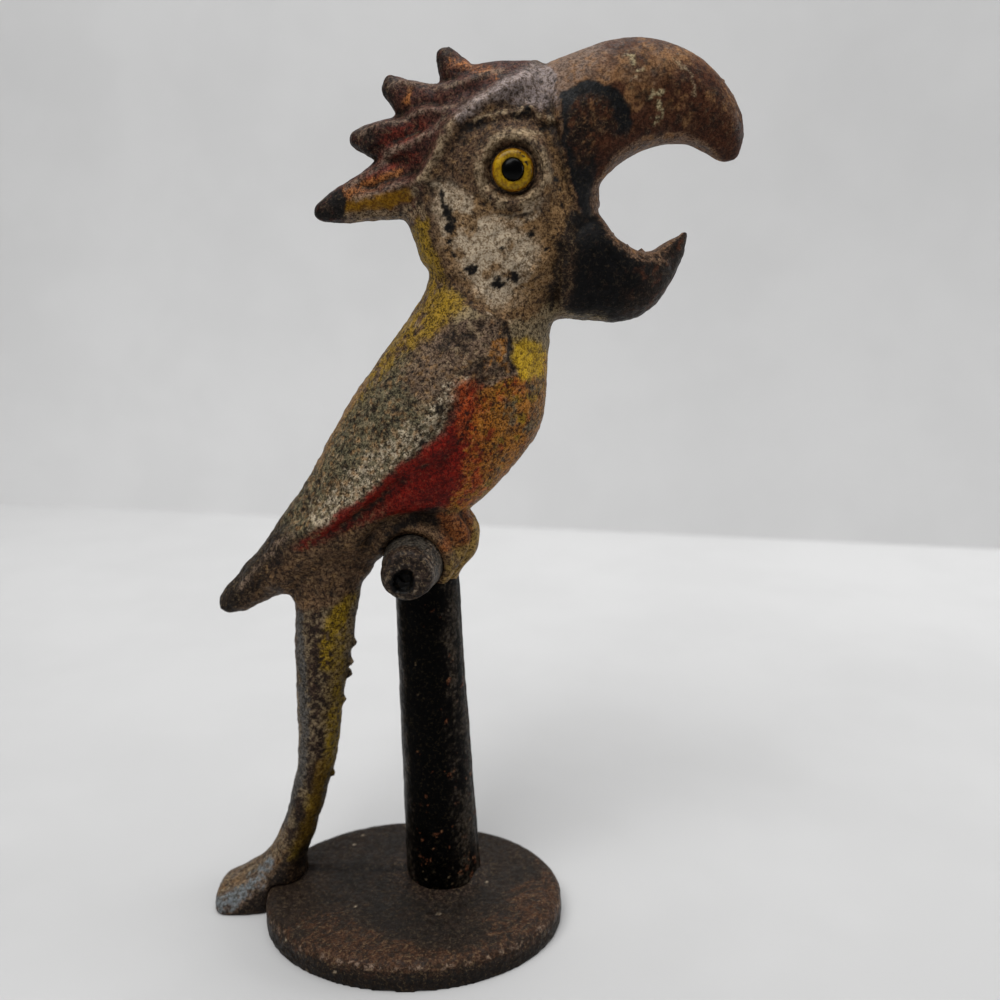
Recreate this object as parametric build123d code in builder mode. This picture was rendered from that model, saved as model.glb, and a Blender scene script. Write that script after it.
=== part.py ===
"""Cast-iron parrot bottle opener on a perch, as the separate pieces it is put together from.

Frame: millimetres, +X the way the bird faces, +Z up, Y = 0 the parting plane down the middle of the
bird. The origin is on the ground, under the middle of the foot's length.

The bird is two castings that meet on the parting plane. The perch bar passes through both of them at
the toes, and one pin through the head, whose domed ends are the pupils, holds them together at the top.
The post carries the bar in a saddle and is tenoned into the oval foot. The end of the tail stands on the
ground astride the rim of the foot.
"""

import os

from build123d import *

# Foot
FOOT_LENGTH = 47.6
FOOT_WIDTH = 38.6
FOOT_THICKNESS = 4.6
FOOT_SHIFT_Y = -4.5  # the oval is cast off centre, towards the bird's right
FOOT_RIM_ROUND = 1.6

# Post, leaning back a little as it rises
POST_FOOT = (4.4, 5.85)  # x of the centre, radius
POST_MIDDLE = (3.2, 5.2)
POST_TOP = (2.5, 4.9)
POST_MIDDLE_Z = 35.0
TENON_RADIUS = 3.2
TENON_LENGTH = 3.2

# Perch bar
BAR_X = 0.9
BAR_Z = 59.2
BAR_MIDDLE_RADIUS = 4.6
BAR_TIP_RADIUS = 3.7
BAR_SHOULDER_Y = 5.0
BAR_HALF_LENGTH = 12.5
BAR_TIP_ROUND = 1.1
DIMPLE_RADIUS = 1.2
SADDLE_DEPTH = 1.4  # how far the post's top rises past the underside of the bar

# Eye
EYE_X = 15.6
EYE_Z = 115.1
PUPIL_RADIUS = 1.55
PUPIL_ROUND = 0.5
EYE_RING_RADIUS = 2.8
EYE_RING_ROUND = 0.9
EYE_BOSS_RADIUS = 4.4
EYE_SEAT_Y = 7.4
EYE_RING_TOP_Y = 9.2
EYE_BOSS_TOP_Y = 8.9
PUPIL_TOP_Y = 9.5

# Everything below is lofted through ovals. Each oval spans the side view from one (x, z) point to
# another, and its last number is its half width across the bird.
HEAD = (
    ((9.6, 129.9), (19.4, 130.3), 2.4),
    ((3.4, 125.8), (23.4, 126.6), 6.4),
    ((-0.7, 119.4), (27.2, 120.0), 8.3),
    ((-0.6, 112.4), (28.1, 111.8), 8.6),
    ((1.2, 107.0), (27.0, 103.0), 7.8),
    ((3.0, 102.4), (22.0, 98.0), 7.0),
)
TOES = (
    ((0.2, 54.0), (6.8, 54.6), 3.4),
    ((-3.2, 57.4), (9.6, 58.4), 6.0),
    ((-4.3, 61.0), (10.8, 62.0), 6.6),
    ((-3.0, 66.0), (8.6, 66.4), 6.6),
)
TORSO = (
    ((-29.6, 51.9), (-28.4, 49.9), 1.3),
    ((-24.8, 58.2), (-18.0, 52.9), 4.0),
    ((-20.0, 64.2), (-4.4, 59.8), 6.4),
    ((-15.3, 71.0), (10.6, 67.6), 8.6),
    ((-10.9, 78.8), (17.8, 75.2), 9.4),
    ((-5.5, 87.8), (20.8, 83.0), 9.0),
    ((0.4, 95.2), (20.9, 90.0), 7.8),
    ((3.5, 99.6), (21.6, 94.6), 7.0),
    ((0.8, 109.4), (24.0, 103.0), 7.2),
)
TAIL = (
    ((-17.8, 58.0), (-4.4, 61.4), 4.8),
    ((-18.2, 52.8), (-8.1, 53.2), 4.0),
    ((-18.4, 46.0), (-9.5, 45.2), 3.7),
    ((-18.7, 35.0), (-11.4, 33.4), 3.4),
    ((-19.0, 22.6), (-13.6, 21.4), 3.3),
    ((-21.5, 12.6), (-16.2, 9.0), 3.9),
    ((-25.8, 7.0), (-20.4, -0.6), 5.2),
    ((-30.4, 4.2), (-28.0, -3.4), 6.2),
    ((-33.0, 1.6), (-32.4, -2.2), 5.4),
)
UPPER_BEAK = (
    ((47.4, 117.4), (45.9, 117.0), 0.7),
    ((48.4, 121.9), (44.2, 117.8), 2.4),
    ((41.9, 130.6), (39.6, 119.8), 4.6),
    ((33.4, 133.4), (34.0, 119.0), 6.0),
    ((25.0, 131.9), (28.9, 114.9), 7.0),
    ((19.8, 129.6), (24.0, 108.6), 7.4),
)
LOWER_BEAK = (
    ((41.0, 106.6), (40.3, 106.9), 0.6),
    ((39.9, 102.9), (37.2, 104.9), 2.2),
    ((36.0, 96.7), (32.8, 105.0), 4.6),
    ((28.4, 94.7), (28.4, 109.6), 6.2),
    ((21.6, 94.8), (23.6, 110.2), 6.8),
)
CREST = (
    (
        ((-11.9, 109.3), (-12.2, 111.3), 1.2),
        ((-9.2, 108.8), (-9.7, 113.3), 2.5),
        ((-4.5, 109.0), (-5.2, 116.0), 3.6),
        ((4.0, 109.0), (1.6, 119.0), 5.0),
    ),
    (
        ((-7.0, 119.2), (-6.7, 121.2), 1.2),
        ((-3.9, 117.8), (-3.3, 122.5), 3.2),
        ((4.0, 113.6), (6.4, 122.6), 5.4),
    ),
    (
        ((-2.2, 126.0), (-1.1, 128.4), 1.2),
        ((-0.6, 123.2), (1.7, 127.9), 3.0),
        ((6.8, 117.6), (11.0, 126.4), 5.4),
    ),
    (
        ((5.1, 130.9), (7.1, 132.0), 1.0),
        ((5.7, 127.8), (9.2, 130.4), 2.6),
        ((10.6, 120.8), (18.2, 127.2), 5.4),
    ),
)

# Folded wing, standing proud of the side of the body
WING_PROUD = 0.8
WING_INSET = 0.45
WING_CUT_Y = 20.0  # clear of the body on both sides
WING_SHOULDER = (15.6, 95.0)
WING_FRONT = (15.4, 89.4)
WING_EDGE = ((9.4, 86.0), (-0.6, 74.0), (-11.0, 64.6), (-20.2, 58.0))
WING_TIP = (-30.2, 49.4)
WING_BACK = (-32.0, 54.0)
WING_NAPE = (-2.0, 101.0)


def oval(start, end, half_width, proud=0.0, inset=0.0):
    """Returns one loft section: the oval across the bird between two points of its side view.

    proud widens the oval on both sides of the bird, and inset shortens it at both ends of its span.
    """
    (start_x, start_z), (end_x, end_z) = start, end
    across = Vector(end_x - start_x, 0, end_z - start_z)
    middle = ((start_x + end_x) / 2, 0, (start_z + end_z) / 2)
    with BuildSketch(Plane(middle, x_dir=across, z_dir=across.cross(Vector(0, 1, 0)))) as section:
        Ellipse(across.length / 2 - inset, half_width + proud)
    return section.sketch.face()


def side_plane(x, z, right=0):
    """Returns the plane facing the bird's right at a point of the side view, that far off the middle."""
    return Plane((x, -right, z), x_dir=(1, 0, 0), z_dir=(0, -1, 0))


with BuildPart() as base_disc:
    with BuildSketch(Plane((0, FOOT_SHIFT_Y, 0))):
        Ellipse(FOOT_LENGTH / 2, FOOT_WIDTH / 2)
    extrude(amount=FOOT_THICKNESS)
    fillet(edges().group_by(Axis.Z)[-1], FOOT_RIM_ROUND)
    with BuildSketch(Plane((POST_FOOT[0], 0, FOOT_THICKNESS))):
        Circle(TENON_RADIUS)
    extrude(amount=-TENON_LENGTH, mode=Mode.SUBTRACT)

with BuildPart() as perch_bar:
    with BuildSketch(Plane((BAR_X, 0, BAR_Z))) as bar_profile:
        with BuildLine():
            Polyline(
                (0, -BAR_HALF_LENGTH),
                (BAR_TIP_RADIUS, -BAR_HALF_LENGTH),
                (BAR_MIDDLE_RADIUS, -BAR_SHOULDER_Y),
                (BAR_MIDDLE_RADIUS, BAR_SHOULDER_Y),
                (BAR_TIP_RADIUS, BAR_HALF_LENGTH),
                (0, BAR_HALF_LENGTH),
                close=True,
            )
        make_face()
        tips = [v for v in bar_profile.vertices() if abs(v.X - BAR_TIP_RADIUS) < 0.01]
        fillet(tips, BAR_TIP_ROUND)
    revolve(axis=Axis((BAR_X, 0, BAR_Z), (0, 1, 0)))
    with Locations((BAR_X, -BAR_HALF_LENGTH, BAR_Z), (BAR_X, BAR_HALF_LENGTH, BAR_Z)):
        Sphere(DIMPLE_RADIUS, mode=Mode.SUBTRACT)

with BuildPart() as perch_post:
    post_top_z = BAR_Z - BAR_MIDDLE_RADIUS + SADDLE_DEPTH
    for (x, radius), z in (
        (POST_FOOT, FOOT_THICKNESS),
        (POST_MIDDLE, POST_MIDDLE_Z),
        (POST_TOP, post_top_z),
    ):
        with BuildSketch(Plane((x, 0, z))):
            Circle(radius)
    loft()
    with BuildSketch(Plane((POST_FOOT[0], 0, FOOT_THICKNESS))):
        Circle(TENON_RADIUS)
    extrude(amount=-TENON_LENGTH)
    with BuildSketch(side_plane(BAR_X, BAR_Z)):
        Circle(BAR_MIDDLE_RADIUS)
    extrude(amount=BAR_HALF_LENGTH, both=True, mode=Mode.SUBTRACT)

with BuildPart() as eye_pin:
    with BuildSketch(Plane((EYE_X, 0, EYE_Z))) as pin_profile:
        with BuildLine():
            Polyline((0, -PUPIL_TOP_Y), (PUPIL_RADIUS, -PUPIL_TOP_Y), (PUPIL_RADIUS, PUPIL_TOP_Y))
            Polyline((PUPIL_RADIUS, PUPIL_TOP_Y), (0, PUPIL_TOP_Y), (0, -PUPIL_TOP_Y))
        make_face()
        heads = [v for v in pin_profile.vertices() if v.X > PUPIL_RADIUS / 2]
        fillet(heads, PUPIL_ROUND)
    revolve(axis=Axis((EYE_X, 0, EYE_Z), (0, 1, 0)))

with BuildPart() as right_eye_ring:
    with BuildSketch(side_plane(EYE_X, EYE_Z, EYE_SEAT_Y)):
        Circle(EYE_RING_RADIUS)
        Circle(PUPIL_RADIUS, mode=Mode.SUBTRACT)
    extrude(amount=EYE_RING_TOP_Y - EYE_SEAT_Y)
    fillet(edges().group_by(Axis.Y)[0].sort_by(SortBy.LENGTH)[-1], EYE_RING_ROUND)

with BuildPart() as left_eye_ring:
    add(right_eye_ring.part.mirror(Plane.XZ))

with BuildPart() as wings:
    with BuildSketch(side_plane(0, 0, -WING_CUT_Y)):
        with BuildLine():
            Polyline(WING_TIP, WING_BACK, WING_NAPE, WING_SHOULDER, WING_FRONT)
            Spline(WING_FRONT, *WING_EDGE, WING_TIP)
        make_face()
    extrude(amount=2 * WING_CUT_Y)
    swollen = [oval(*section, proud=WING_PROUD, inset=WING_INSET) for section in TORSO]
    loft(sections=swollen, mode=Mode.INTERSECT)

with BuildPart() as bird:
    for outline in (TORSO, HEAD, UPPER_BEAK, LOWER_BEAK, *CREST, TAIL, TOES):
        loft(sections=[oval(*section) for section in outline])
    add(wings.part)
    with BuildSketch(side_plane(EYE_X, EYE_Z)):
        Circle(EYE_BOSS_RADIUS)
    extrude(amount=EYE_BOSS_TOP_Y, both=True)
    with BuildSketch(side_plane(EYE_X, EYE_Z)):
        Circle(PUPIL_RADIUS)
    extrude(amount=PUPIL_TOP_Y, both=True, mode=Mode.SUBTRACT)
    for facing in (-1, 1):
        with BuildSketch(side_plane(EYE_X, EYE_Z, facing * EYE_SEAT_Y)):
            Circle(EYE_RING_RADIUS)
        extrude(amount=facing * EYE_SEAT_Y, mode=Mode.SUBTRACT)
    add(perch_bar.part, mode=Mode.SUBTRACT)
    add(perch_post.part, mode=Mode.SUBTRACT)
    add(base_disc.part, mode=Mode.SUBTRACT)
    split(bisect_by=Plane.XY, keep=Keep.TOP)

with BuildPart() as bird_right_half:
    add(bird.part)
    split(bisect_by=Plane.XZ, keep=Keep.TOP)

with BuildPart() as bird_left_half:
    add(bird.part)
    split(bisect_by=Plane.XZ, keep=Keep.BOTTOM)

os.makedirs("parts", exist_ok=True)
for name, piece in (
    ("bird_right_half", bird_right_half),
    ("bird_left_half", bird_left_half),
    ("eye_pin", eye_pin),
    ("right_eye_ring", right_eye_ring),
    ("left_eye_ring", left_eye_ring),
    ("perch_bar", perch_bar),
    ("perch_post", perch_post),
    ("base_disc", base_disc),
):
    piece.part.label = name
    export_step(piece.part, f"parts/{name}.step")
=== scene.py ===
import math

import bmesh
import bpy
import numpy as np
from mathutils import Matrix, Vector


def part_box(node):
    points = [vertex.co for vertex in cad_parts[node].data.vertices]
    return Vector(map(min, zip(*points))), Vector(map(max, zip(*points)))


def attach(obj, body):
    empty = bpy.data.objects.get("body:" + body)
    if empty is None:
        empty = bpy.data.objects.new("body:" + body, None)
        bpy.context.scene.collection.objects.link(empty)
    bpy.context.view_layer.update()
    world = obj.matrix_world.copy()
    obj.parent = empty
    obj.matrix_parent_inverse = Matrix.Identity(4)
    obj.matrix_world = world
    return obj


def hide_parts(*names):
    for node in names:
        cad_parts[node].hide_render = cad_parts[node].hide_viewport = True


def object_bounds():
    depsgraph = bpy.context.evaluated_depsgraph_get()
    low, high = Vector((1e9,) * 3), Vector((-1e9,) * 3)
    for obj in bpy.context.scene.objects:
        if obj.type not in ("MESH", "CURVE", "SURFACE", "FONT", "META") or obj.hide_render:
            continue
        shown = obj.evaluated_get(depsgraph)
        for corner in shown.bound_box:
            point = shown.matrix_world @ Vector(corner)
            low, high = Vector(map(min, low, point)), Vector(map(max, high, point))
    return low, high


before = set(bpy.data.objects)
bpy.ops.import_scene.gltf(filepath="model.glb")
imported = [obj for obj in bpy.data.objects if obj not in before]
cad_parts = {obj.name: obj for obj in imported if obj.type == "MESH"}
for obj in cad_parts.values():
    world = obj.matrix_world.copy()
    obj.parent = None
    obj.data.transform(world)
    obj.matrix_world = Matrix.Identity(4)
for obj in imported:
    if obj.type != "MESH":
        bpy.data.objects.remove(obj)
CAD_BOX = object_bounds()

# ---- Places. The sculpting below works in millimetres in the frame of the CAD model. Head features are
# placed from the eye, and body, tail and foot features from the perch bar, as (x, z) in the side view.
MM = 0.001


def box_mm(node):
    """Returns a CAD node's lowest and highest corners in millimetres."""
    low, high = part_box(node)
    return np.array(low) / MM, np.array(high) / MM


RING_LOW, RING_HIGH = box_mm("left_eye_ring")
EYE = (RING_LOW + RING_HIGH)[[0, 2]] / 2
EYE_RADIUS = (RING_HIGH - RING_LOW)[0] / 2
EYE_SEAT_Y = RING_LOW[1]
BAR_LOW, BAR_HIGH = box_mm("perch_bar")
BAR = (BAR_LOW + BAR_HIGH)[[0, 2]] / 2
POST_LOW, POST_HIGH = box_mm("perch_post")
BASE_LOW, BASE_HIGH = box_mm("base_disc")


def head(*points):
    """Turns offsets from the eye into places in the side view."""
    return np.array(points, float) + EYE


def body(*points):
    """Turns offsets from the perch bar into places in the side view."""
    return np.array(points, float) + BAR


# ---- Fields: smooth steps, noise and strokes, all evaluated at many points at once ----
def step(low, high, value):
    """Rises smoothly from 0 at low to 1 at high."""
    t = np.clip((value - low) / (high - low), 0, 1)
    return t * t * (3 - 2 * t)


def bell(value, width, middle=0.0, power=2):
    """Is 1 at middle and dies away over width on either side of it, more squarely for a higher power."""
    return np.exp(-(((value - middle) / width) ** power))


def far(places, spot):
    """Returns how far each place is from one spot."""
    return np.linalg.norm(places - spot, axis=1)


def hashed(cell, seed):
    """Returns one repeatable number from 0 to 1 for each row of whole numbers in cell."""
    x, y, z = (cell[:, i].astype(np.uint64) for i in range(3))
    mixed = x * np.uint64(73856093) ^ y * np.uint64(19349663) ^ z * np.uint64(83492791)
    mixed = (mixed ^ np.uint64(seed * 2654435761)) & np.uint64(0xFFFFFFFF)
    for shift in (16, 13, 16):
        mixed = ((mixed ^ (mixed >> np.uint64(shift))) * np.uint64(0x45D9F3B)) & np.uint64(0xFFFFFFFF)
    return mixed.astype(float) / 0xFFFFFFFF


def noise(points, size, seed=0):
    """Smooth noise from -1 to 1 with features about size millimetres across."""
    scaled = points / size + 1000.0
    cell = np.floor(scaled).astype(np.int64)
    part = scaled - cell
    part = part * part * part * (part * (part * 6 - 15) + 10)
    total = np.zeros(len(points))
    for corner in np.ndindex(2, 2, 2):
        weight = np.prod(np.where(corner, part, 1 - part), axis=1)
        total += weight * hashed(cell + np.array(corner), seed)
    return total * 2 - 1


# A rotation that keeps the grids of two noises from lining up
TURN = np.array([[0.36, 0.48, -0.8], [-0.8, 0.6, 0.0], [0.48, 0.64, 0.6]])


def cloud(points, size, seed=0, octaves=3):
    """Fractal noise from about -1 to 1, whose largest features are about size millimetres across."""
    total, reach = np.zeros(len(points)), 0.0
    for octave in range(octaves):
        turned = points @ TURN if octave % 2 else points
        total += noise(turned, size / 2**octave, seed + 17 * octave) / 2**octave
        reach += 1 / 2**octave
    return total / reach * 1.5


def dots(points, size, seed=0):
    """Distance in millimetres to the nearest of many scattered points about size millimetres apart."""
    scaled = points / size + 1000.0
    cell = np.floor(scaled).astype(np.int64)
    best = np.full(len(points), 9.0)
    for around in np.ndindex(3, 3, 3):
        near = cell + np.array(around) - 1
        spot = near + np.stack([hashed(near, seed + k) for k in (1, 2, 3)], axis=1)
        best = np.minimum(best, far(spot, scaled))
    return best * size


# Points further than this many millimetres from a line or an outline are never reached by it
NEAR = 10.0


def curve(points, count):
    """Rounds a few side-view points into a smooth line through all of them."""
    ends = np.vstack([2 * points[0] - points[1], points, 2 * points[-1] - points[-2]])
    line = []
    for i in range(len(points) - 1):
        a, b, c, d = ends[i : i + 4]
        for t in np.linspace(0, 1, count, endpoint=False):
            line.append(
                0.5 * (2 * b + (c - a) * t + (2 * a - 5 * b + 4 * c - d) * t**2
                       + (3 * b - a - 3 * c + d) * t**3)
            )
    return np.array(line + [points[-1]])


def along(side, points):
    """Returns each point's distance from a smooth line, its place 0 to 1 along it, and its side of it."""
    line = curve(points, 10)
    near = np.all((side > line.min(axis=0) - NEAR) & (side < line.max(axis=0) + NEAR), axis=1)
    if not near.all():
        distance, place, hand = (np.full(len(side), default) for default in (1e9, 0.0, 0.0))
        if near.any():
            distance[near], place[near], hand[near] = along(side[near], points)
        return distance, place, hand
    best = np.full(len(side), 1e9)
    place, hand = np.zeros(len(side)), np.zeros(len(side))
    lengths = np.linalg.norm(np.diff(line, axis=0), axis=1)
    ends = np.concatenate([[0], np.cumsum(lengths)]) / lengths.sum()
    for i, (a, b) in enumerate(zip(line[:-1], line[1:])):
        run = b - a
        t = np.clip((side - a) @ run / (run @ run), 0, 1)
        gap = side - a - t[:, None] * run
        distance = np.linalg.norm(gap, axis=1)
        closer = distance < best
        best[closer] = distance[closer]
        place[closer] = (ends[i] + t * (ends[i + 1] - ends[i]))[closer]
        hand[closer] = (run[0] * gap[:, 1] - run[1] * gap[:, 0])[closer]
    return best, place, np.sign(hand)


def inside(side, points):
    """Signed distance in millimetres from a smooth closed outline, positive inside it."""
    line = curve(np.vstack([points, points[:1]]), 8)
    near = np.all((side > line.min(axis=0) - NEAR) & (side < line.max(axis=0) + NEAR), axis=1)
    if not near.all():
        depth = np.full(len(side), -1e9)
        if near.any():
            depth[near] = inside(side[near], points)
        return depth
    best = np.full(len(side), 1e9)
    crossings = np.zeros(len(side), int)
    for a, b in zip(line[:-1], line[1:]):
        run = b - a
        t = np.clip((side - a) @ run / (run @ run + 1e-12), 0, 1)
        best = np.minimum(best, np.linalg.norm(side - a - t[:, None] * run, axis=1))
        spans = (a[1] > side[:, 1]) != (b[1] > side[:, 1])
        reach = a[0] + (side[:, 1] - a[1]) * run[0] / (run[1] if abs(run[1]) > 1e-9 else 1e-9)
        crossings += spans & (side[:, 0] < reach)
    return np.where(crossings % 2, best, -best)


# ---- Meshes ----
def cad_mesh(*nodes, drop_parting=False):
    """Returns the welded vertices, in millimetres, and triangles of some CAD nodes, taken together."""
    all_points, all_faces, start = [], [], 0
    for node in nodes:
        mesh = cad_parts[node].data
        points = np.zeros(len(mesh.vertices) * 3)
        mesh.vertices.foreach_get("co", points)
        mesh.calc_loop_triangles()
        faces = np.zeros(len(mesh.loop_triangles) * 3, np.int64)
        mesh.loop_triangles.foreach_get("vertices", faces)
        all_points.append(points.reshape(-1, 3) / MM)
        all_faces.append(faces.reshape(-1, 3) + start)
        start += len(mesh.vertices)
    points, faces = np.vstack(all_points), np.vstack(all_faces)
    if drop_parting:
        on_plane = np.abs(points[:, 1]) < 1e-3
        faces = faces[~on_plane[faces].all(axis=1)]
    _, first, back = np.unique(np.round(points, 3), axis=0, return_index=True, return_inverse=True)
    faces = back.reshape(-1)[faces]
    faces = faces[(faces[:, 0] != faces[:, 1]) & (faces[:, 1] != faces[:, 2]) & (faces[:, 0] != faces[:, 2])]
    return points[first], faces


def new_mesh(name, points, faces):
    """Makes a Blender mesh from arrays."""
    mesh = bpy.data.meshes.new(name)
    mesh.from_pydata(points.tolist(), [], [list(face) for face in faces])
    mesh.update()
    return mesh


def remesh(points, faces, voxel):
    """Returns the same solid as one even skin of quads about voxel millimetres across."""
    shape = bpy.data.objects.new("remesh", new_mesh("remesh", points, faces))
    bpy.context.scene.collection.objects.link(shape)
    modifier = shape.modifiers.new("voxels", "REMESH")
    modifier.mode = "VOXEL"
    modifier.voxel_size = voxel
    result = shape.evaluated_get(bpy.context.evaluated_depsgraph_get()).to_mesh()
    points = np.zeros(len(result.vertices) * 3)
    result.vertices.foreach_get("co", points)
    faces = np.zeros(len(result.loops), np.int64)
    result.loops.foreach_get("vertex_index", faces)
    shape.to_mesh_clear()
    bpy.data.objects.remove(shape)
    return points.reshape(-1, 3), faces.reshape(-1, 4)


def edges_of(faces):
    """Returns each edge of some faces once."""
    pairs = np.vstack([np.stack([faces[:, i], faces[:, i - 1]], axis=1) for i in range(faces.shape[1])])
    pairs.sort(axis=1)
    return np.unique(pairs, axis=0)


def smooth(points, faces, rounds, keep=0.0):
    """Evens the surface out. With keep above 0, each round gives back most of what it shrank."""
    pairs = edges_of(faces)
    ends = np.concatenate([pairs[:, 0], pairs[:, 1]])
    others = np.concatenate([pairs[:, 1], pairs[:, 0]])
    degree = np.bincount(ends, minlength=len(points))[:, None]

    def pulled(places, amount):
        mean = np.stack([np.bincount(ends, places[others, k], len(places)) for k in range(3)], axis=1)
        return places + amount * (mean / degree - places)

    for _ in range(rounds):
        points = pulled(points, 0.5)
        if keep:
            points = pulled(points, -0.5 * keep)
    return points


def normals_of(points, faces):
    """Returns the unit normal at each vertex."""
    diagonal = np.cross(points[faces[:, 2]] - points[faces[:, 0]],
                        points[faces[:, -1]] - points[faces[:, 1]])
    ends, count = faces.ravel(), faces.shape[1]
    total = [np.bincount(ends, np.repeat(diagonal[:, k], count), len(points)) for k in range(3)]
    total = np.stack(total, axis=1)
    return total / np.maximum(np.linalg.norm(total, axis=1), 1e-12)[:, None]


def hollowness(points, faces, rounds):
    """Returns how far each vertex lies below, or above if negative, its smoothed surroundings."""
    return np.einsum("ij,ij->i", smooth(points, faces, rounds) - points, normals_of(points, faces))


def piece(node, points, faces, material, **attributes):
    """Makes a finished piece that stands for a CAD node, with its paint in vertex attributes."""
    mesh = new_mesh(node, points * MM, faces)
    mesh.shade_smooth()
    for key, values in attributes.items():
        kind = "FLOAT_COLOR" if values.ndim == 2 else "FLOAT"
        layer = mesh.attributes.new(key, kind, "POINT")
        if values.ndim == 2:
            values = np.hstack([values, np.ones((len(values), 1))])
        layer.data.foreach_set("color" if kind == "FLOAT_COLOR" else "value", values.ravel())
    made = bpy.data.objects.new(node, mesh)
    bpy.context.scene.collection.objects.link(made)
    mesh.materials.append(material)
    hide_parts(node)
    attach(made, "root")


# ---- The bird's form ----
ROUGH_VOXEL = 0.42
FINE_VOXEL = 0.27

MOUTH = head((20.9, -3.2))[0]
# Around the mouth, by the angle seen from its middle: half width and half depth of the beak
BEAK_ANGLES = np.radians((25, 36, 68, 110, 160, 180, 216, 240, 275, 308))
BEAK_HALF_WIDTHS = (0.7, 2.4, 4.6, 6.0, 6.8, 7.0, 6.4, 4.6, 2.2, 0.6)
BEAK_HALF_DEPTHS = (0.8, 2.9, 5.5, 7.0, 6.5, 6.0, 6.4, 4.3, 1.7, 0.5)

FACE_EDGE = head((4.2, 14), (5.4, 10.5), (5.8, 7.2), (6.6, 4), (7.6, 0.7), (8.7, -2.6), (9.6, -6))
RIM = head((-14, -2.6), (-11.4, 0.2), (-10.1, 2.7), (-8.4, 5.4), (-7, 7.1), (-4.9, 8.6), (-3, 9.8),
           (-0.6, 11), (2, 12), (4.6, 13))
# The top edge of each feather of the crest, from near its tip to where it dies away on the head
CREST_RIDGES = (
    head((-22.5, -3.4), (-19.2, -2.8), (-16.9, -2), (-13.4, -1.2), (-12.1, 0), (-11, 1.3)),
    head((-23.5, -2), (-19.4, 0.5), (-17.6, 2.6), (-14.4, 3.5), (-11, 5.3), (-9.2, 6.7)),
    head((-21.4, 5.6), (-18.6, 6.5), (-15.8, 7), (-12.3, 7.9), (-9.7, 8.1), (-6.6, 8.9)),
    head((-16.8, 12.2), (-13.2, 12.1), (-10.1, 11.3), (-6.7, 11.8), (-3.7, 12.7), (-0.8, 13)),
)
WING_EDGE = body((9.6, 27.5), (8.7, 24.7), (6.2, 20.5), (2.8, 17), (-1.6, 14.6), (-5.5, 11.5), (-10.5, 8),
                 (-15, 5.5), (-19.8, 3), (-24.8, -2), (-27.5, -5.5))
BARE_SHOULDER = body((3, 33), (7.5, 35.6), (13, 36.4), (14.5, 34.8), (14.8, 30.4), (15.2, 28.4), (11.5, 27),
                     (6.5, 27.5))

# Where the casting strays from the plain CAD form: a place, how wide the move is, and how far it goes
NUDGES = (
    (body((-31, -8.4)), 3.0, (-0.7, -0.6)),
    (body((-30, -3)), 3.0, (0.5, -0.5)),
    (body((-23, -8.6)), 3.4, (0.3, 2.6)),
    (body((-6.9, -1.4)), 2.6, (1.0, -1.3)),
    (body((-18.2, -6.5)), 1.6, (-0.5, -0.5)),
    (body((-22.5, 6)), 5.0, (-0.25, 0.2)),
    (body((8.6, -2.7)), 2.2, (-0.7, 0.4)),
    (body((-34.7, -61.4)), 2.6, (1.7, 0.0)),
    (body((-31.2, -55.2)), 2.4, (0.2, -0.3)),
    (body((-33.8, -56.8)), 2.0, (-0.4, 0.0)),
    (body((-20.3, -44.1)), 7.0, (-0.6, 0.0)),
    (body((-4.8, 32)), 7.0, (0.4, -0.3)),
    (head((-12.2, -13.1)), 2.6, (-0.5, 0.3)),
    (head((-27.6, -4.4)), 2.6, (-0.9, -0.5)),
    (head((-22.4, 5.2)), 2.2, (-0.5, -0.1)),
    (head((-19.5, 2.9)), 1.6, (-1.2, 0.2)),
    (head((-17.6, 12.7)), 2.4, (-0.9, 0.6)),
    (head((-10.1, 16.8)), 2.4, (-0.4, 0.9)),
    (head((26.2, -8.4)), 2.4, (0.1, 0.6)),
    (head((21.5, -9.8)), 2.6, (0.0, 0.4)),
    (body((15.5, 13.5)), 4.0, (-0.3, 0.2)),
    (body((-16.4, -46)), 3.0, (-0.6, 0.0)),
    (body((-17.4, -51.6)), 3.2, (-1.4, 0.0)),
    (head((19.6, 4.1)), 4.5, (0.0, -0.5)),
    (head((14.5, -8.1)), 3.0, (-0.3, -0.4)),
)
TIPS = (head((-27.2, -4.4)), head((-22, 5)), head((-17, 12.2)), head((-9.4, 16.2)))
NAPE = head((-12.2, -13.5))
# Torn flash on the parting line and its size: down the front of the tail, on the beak, in the mouth
TAIL_BURRS = body((-10.4, -14.5), (-11, -17.6), (-11.6, -19.6), (-12.4, -24), (-14.2, -36.9))
BEAK_BURRS = head((31.8, 10.3), (29.6, 13), (12.7, -3.9), (14.5, -7.7), (16.6, -9.8), (18.8, -10.6))
BURRS = [(place, 0.62) for place in TAIL_BURRS] + [(place, 0.4) for place in BEAK_BURRS]
BROW = head((-5.8, 6), (-3.2, 7.1), (1.9, 8), (5.3, 6.8))
CHEEK_LUMPS = head((2.6, -13.2), (-4.8, -16.4), (4.6, -11.6), (6, -14.8), (3.6, -16.4), (7.2, -9))
CHEEK = head((-11, -2), (5, -4), (8, -10), (2, -21), (-6, -19), (-11, -10))
WING_AREA = body((-7.5, 24), (-4, 28), (0, 31), (6, 32), (11, 30), (9.4, 26.4), (7, 24.1), (4.4, 20.2),
                 (-1.3, 15.6), (-5.4, 11.7), (-10.2, 8.3), (-15, 5.2), (-20.9, 1.2), (-29, -5.6), (-33, -8),
                 (-28, 2), (-16, 16))


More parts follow.
